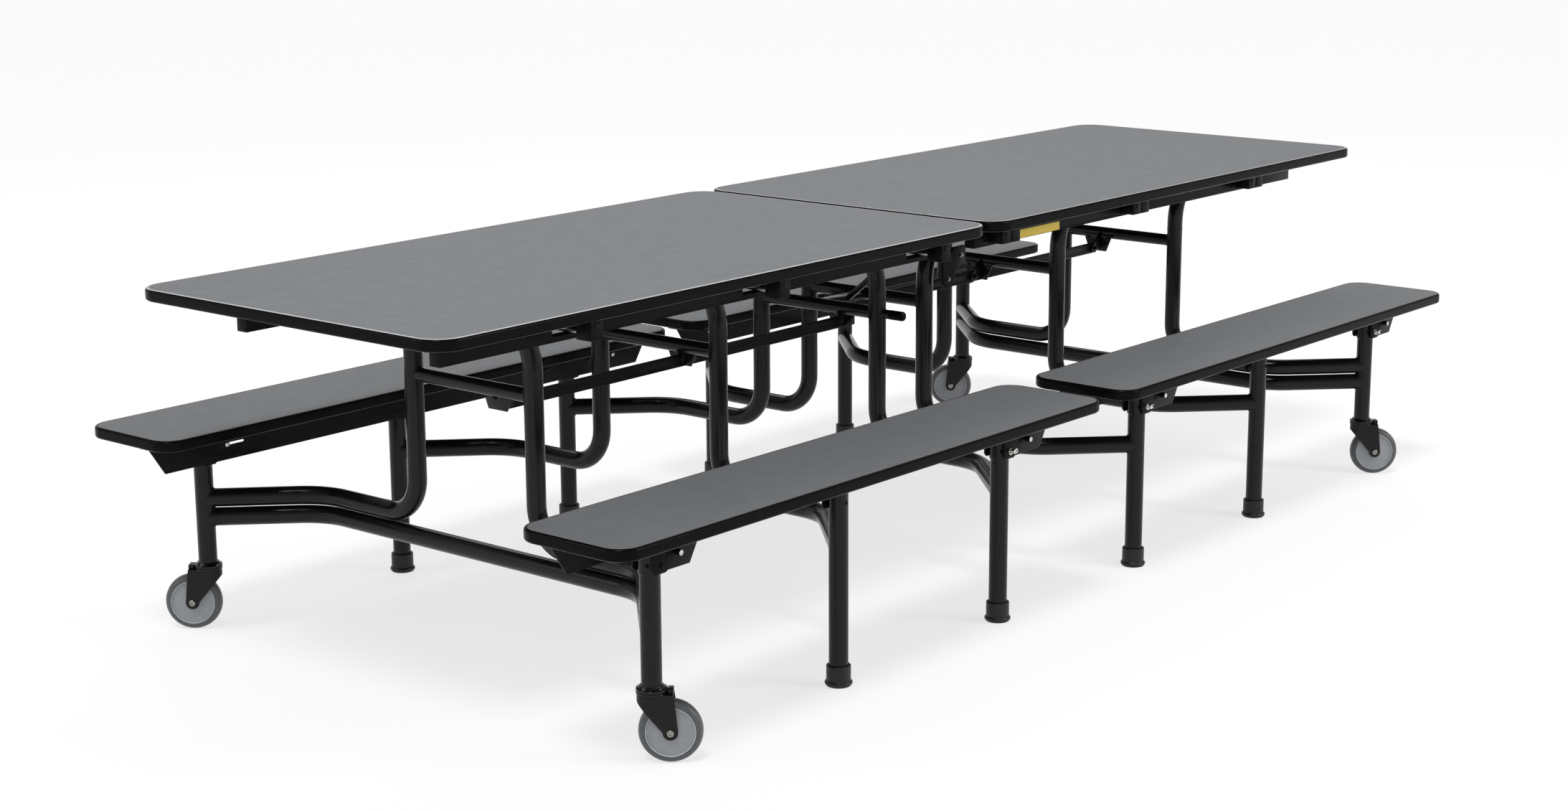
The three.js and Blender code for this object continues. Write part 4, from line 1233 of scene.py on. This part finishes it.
def swivel_ring(section):
    """A ring about the swivel, hung from the caster's top."""
    return lathe([(radius, CASTER_HEIGHT - depth) for radius, depth in section], SWIVEL_SIDES)


def other_side(section):
    return [(radius, -way) for radius, way in section]


def wheel_ring(profile):
    """A ring about the axle."""
    axle = Matrix.Translation((CASTER_TRAIL, 0, WHEEL_RADIUS)) @ Matrix.Rotation(radians(-90), 4, "X")
    return lathe(profile, WHEEL_SIDES, axle)


def make_casters(half):
    for side, word in sides_of(half):
        stand = Matrix.Translation((STATIONS["end"] + LEG_OUT, side * LEG_Y, 0))
        place = stand @ Matrix.Rotation(CASTER_ANGLE + (pi if side > 0 else 0), 4, "Z")
        tread = wheel_ring(other_side(reversed(HALF_TREAD)) + list(HALF_TREAD))
        hub = wheel_ring(other_side(reversed(HALF_HUB)) + list(HALF_HUB))
        # The rims' paler colour is a painted highlight
        rims = merged(wheel_ring(RIM_SECTION), wheel_ring(other_side(RIM_SECTION)))
        caster = f"{half}_{word}_caster"
        for name, mesh, slot, material, *nodes in (
            ("fork_sheet", caster_fork(), "fork", FORK, f"{caster}_fork"),
            ("race", swivel_ring(RACE_SECTION), "fork", RACE),
            ("neck", swivel_ring(NECK_SECTION), "fork", SHADED_DULL_ZINC),
            ("axle", caster_axle(), "zinc", SHADED_DULL_ZINC),
        ):
            mesh.transform(place)
            half_piece(half, f"{word}_caster_{name}", mesh, caster, slot, material, *nodes)
        for name, mesh, material, *nodes in (
            ("tread", tread, TREAD, f"{caster}_wheel"), ("hub", hub, HUB), ("hub_rim", rims, RIM_HIGHLIGHT),
        ):
            mesh.transform(place)
            half_piece(half, f"{word}_wheel_{name}", mesh, f"{half}_{word}_wheel", "wheel", material, *nodes)


for half in HALVES:
    make_boards(half)
    make_legs(half)
    make_cross_tubes(half)
    make_lower_tube(half)
    make_welds(half)
    make_rods(half)
    make_bench_fittings(half)
    make_glides(half)
    make_casters(half)
make_sheet_steel()
make_latch_fittings()
make_rail_plate()


# Camera, floor and light
def make_camera():
    data = bpy.data.cameras.new("camera")
    data.sensor_width = SENSOR_WIDTH
    data.lens = SENSOR_WIDTH * FOCAL_PIXELS / PHOTO_WIDTH
    data.clip_end = 200
    camera = bpy.data.objects.new("camera", data)
    ROOT.objects.link(camera)
    level = cos(CAMERA_PITCH)
    ahead = Vector((level * cos(CAMERA_YAW), level * sin(CAMERA_YAW), -sin(CAMERA_PITCH)))
    right = Vector((sin(CAMERA_YAW), -cos(CAMERA_YAW), 0))
    up = right.cross(ahead)
    rolled_right = right * cos(CAMERA_ROLL) + up * sin(CAMERA_ROLL)
    rolled_up = up * cos(CAMERA_ROLL) - right * sin(CAMERA_ROLL)
    turn = Matrix((rolled_right, rolled_up, -ahead)).transposed().to_4x4()
    camera.matrix_world = Matrix.Translation(CAMERA_AT) @ turn
    bpy.context.scene.camera = camera


def floor_finish():
    """Matt pale floor that keeps the shadow, lifted towards white where it is seen or mirrored."""
    material = finish("pale_floor", (0.95, 0.95, 0.95), 0.9, gloss=0.0)
    nodes = material.node_tree.nodes
    links = material.node_tree.links
    ray = nodes.new("ShaderNodeLightPath").outputs
    seen = ray["Is Camera Ray"]
    for kind in ("Is Glossy Ray", "Is Transmission Ray"):
        either = nodes.new("ShaderNodeMath")
        either.operation = "MAXIMUM"
        links.new(seen, either.inputs[0])
        links.new(ray[kind], either.inputs[1])
        seen = either.outputs["Value"]
    share = nodes.new("ShaderNodeMath")
    share.operation = "MULTIPLY"
    share.inputs[1].default_value = FLOOR_LIFT
    links.new(seen, share.inputs[0])
    lifted = nodes.new("ShaderNodeMixShader")
    links.new(share.outputs["Value"], lifted.inputs["Fac"])
    links.new(nodes["Principled BSDF"].outputs["BSDF"], lifted.inputs[1])
    links.new(nodes.new("ShaderNodeEmission").outputs["Emission"], lifted.inputs[2])
    links.new(lifted.outputs["Shader"], nodes["Material Output"].inputs["Surface"])
    return material


def make_floor():
    mesh = bpy.data.meshes.new("floor")
    corners = [(x * FLOOR_HALF, y * FLOOR_HALF, 0) for x, y in ((-1, -1), (1, -1), (1, 1), (-1, 1))]
    mesh.from_pydata(corners, [], [(0, 1, 2, 3)])
    floor = bpy.data.objects.new("floor", mesh)
    ROOT.objects.link(floor)
    mesh.materials.append(floor_finish())


def make_softbox(name, at, width, height, power):
    data = bpy.data.lights.new(name, "AREA")
    data.shape = "RECTANGLE"
    data.size = width
    data.size_y = height
    data.energy = power
    softbox = bpy.data.objects.new(name, data)
    softbox.matrix_world = facing(at, Vector(at) - Vector(SOFTBOX_AIM))
    softbox.visible_camera = False
    ROOT.objects.link(softbox)


def make_studio_walls():
    """A world that is white at the horizon, as pale studio walls are, and greyer overhead."""
    world = bpy.data.worlds.new("studio")
    bpy.context.scene.world = world
    world.use_nodes = True
    nodes = world.node_tree.nodes
    links = world.node_tree.links
    split = nodes.new("ShaderNodeSeparateXYZ")
    links.new(nodes.new("ShaderNodeTexCoord").outputs["Generated"], split.inputs["Vector"])
    level = nodes.new("ShaderNodeMapRange")
    level.inputs["From Max"].default_value = WALL_TOP
    level.inputs["To Min"].default_value = WALL_LIGHT
    level.inputs["To Max"].default_value = CEILING_LIGHT
    links.new(split.outputs["Z"], level.inputs["Value"])
    nodes["Background"].inputs["Color"].default_value = (1, 1, 1, 1)
    links.new(level.outputs["Result"], nodes["Background"].inputs["Strength"])


def make_lights():
    make_studio_walls()
    key = bpy.data.lights.new("key_light", "SUN")
    key.energy = SUN_POWER
    key.angle = SUN_SPREAD
    lamp = bpy.data.objects.new("key_light", key)
    lamp.matrix_world = facing((0, 0, 4), SUN_FROM)
    ROOT.objects.link(lamp)
    for name, (at, width, height, power) in SOFTBOXES.items():
        make_softbox(name, at, width, height, power)


make_camera()
make_floor()
make_lights()
bpy.context.scene.view_settings.view_transform = "Standard"
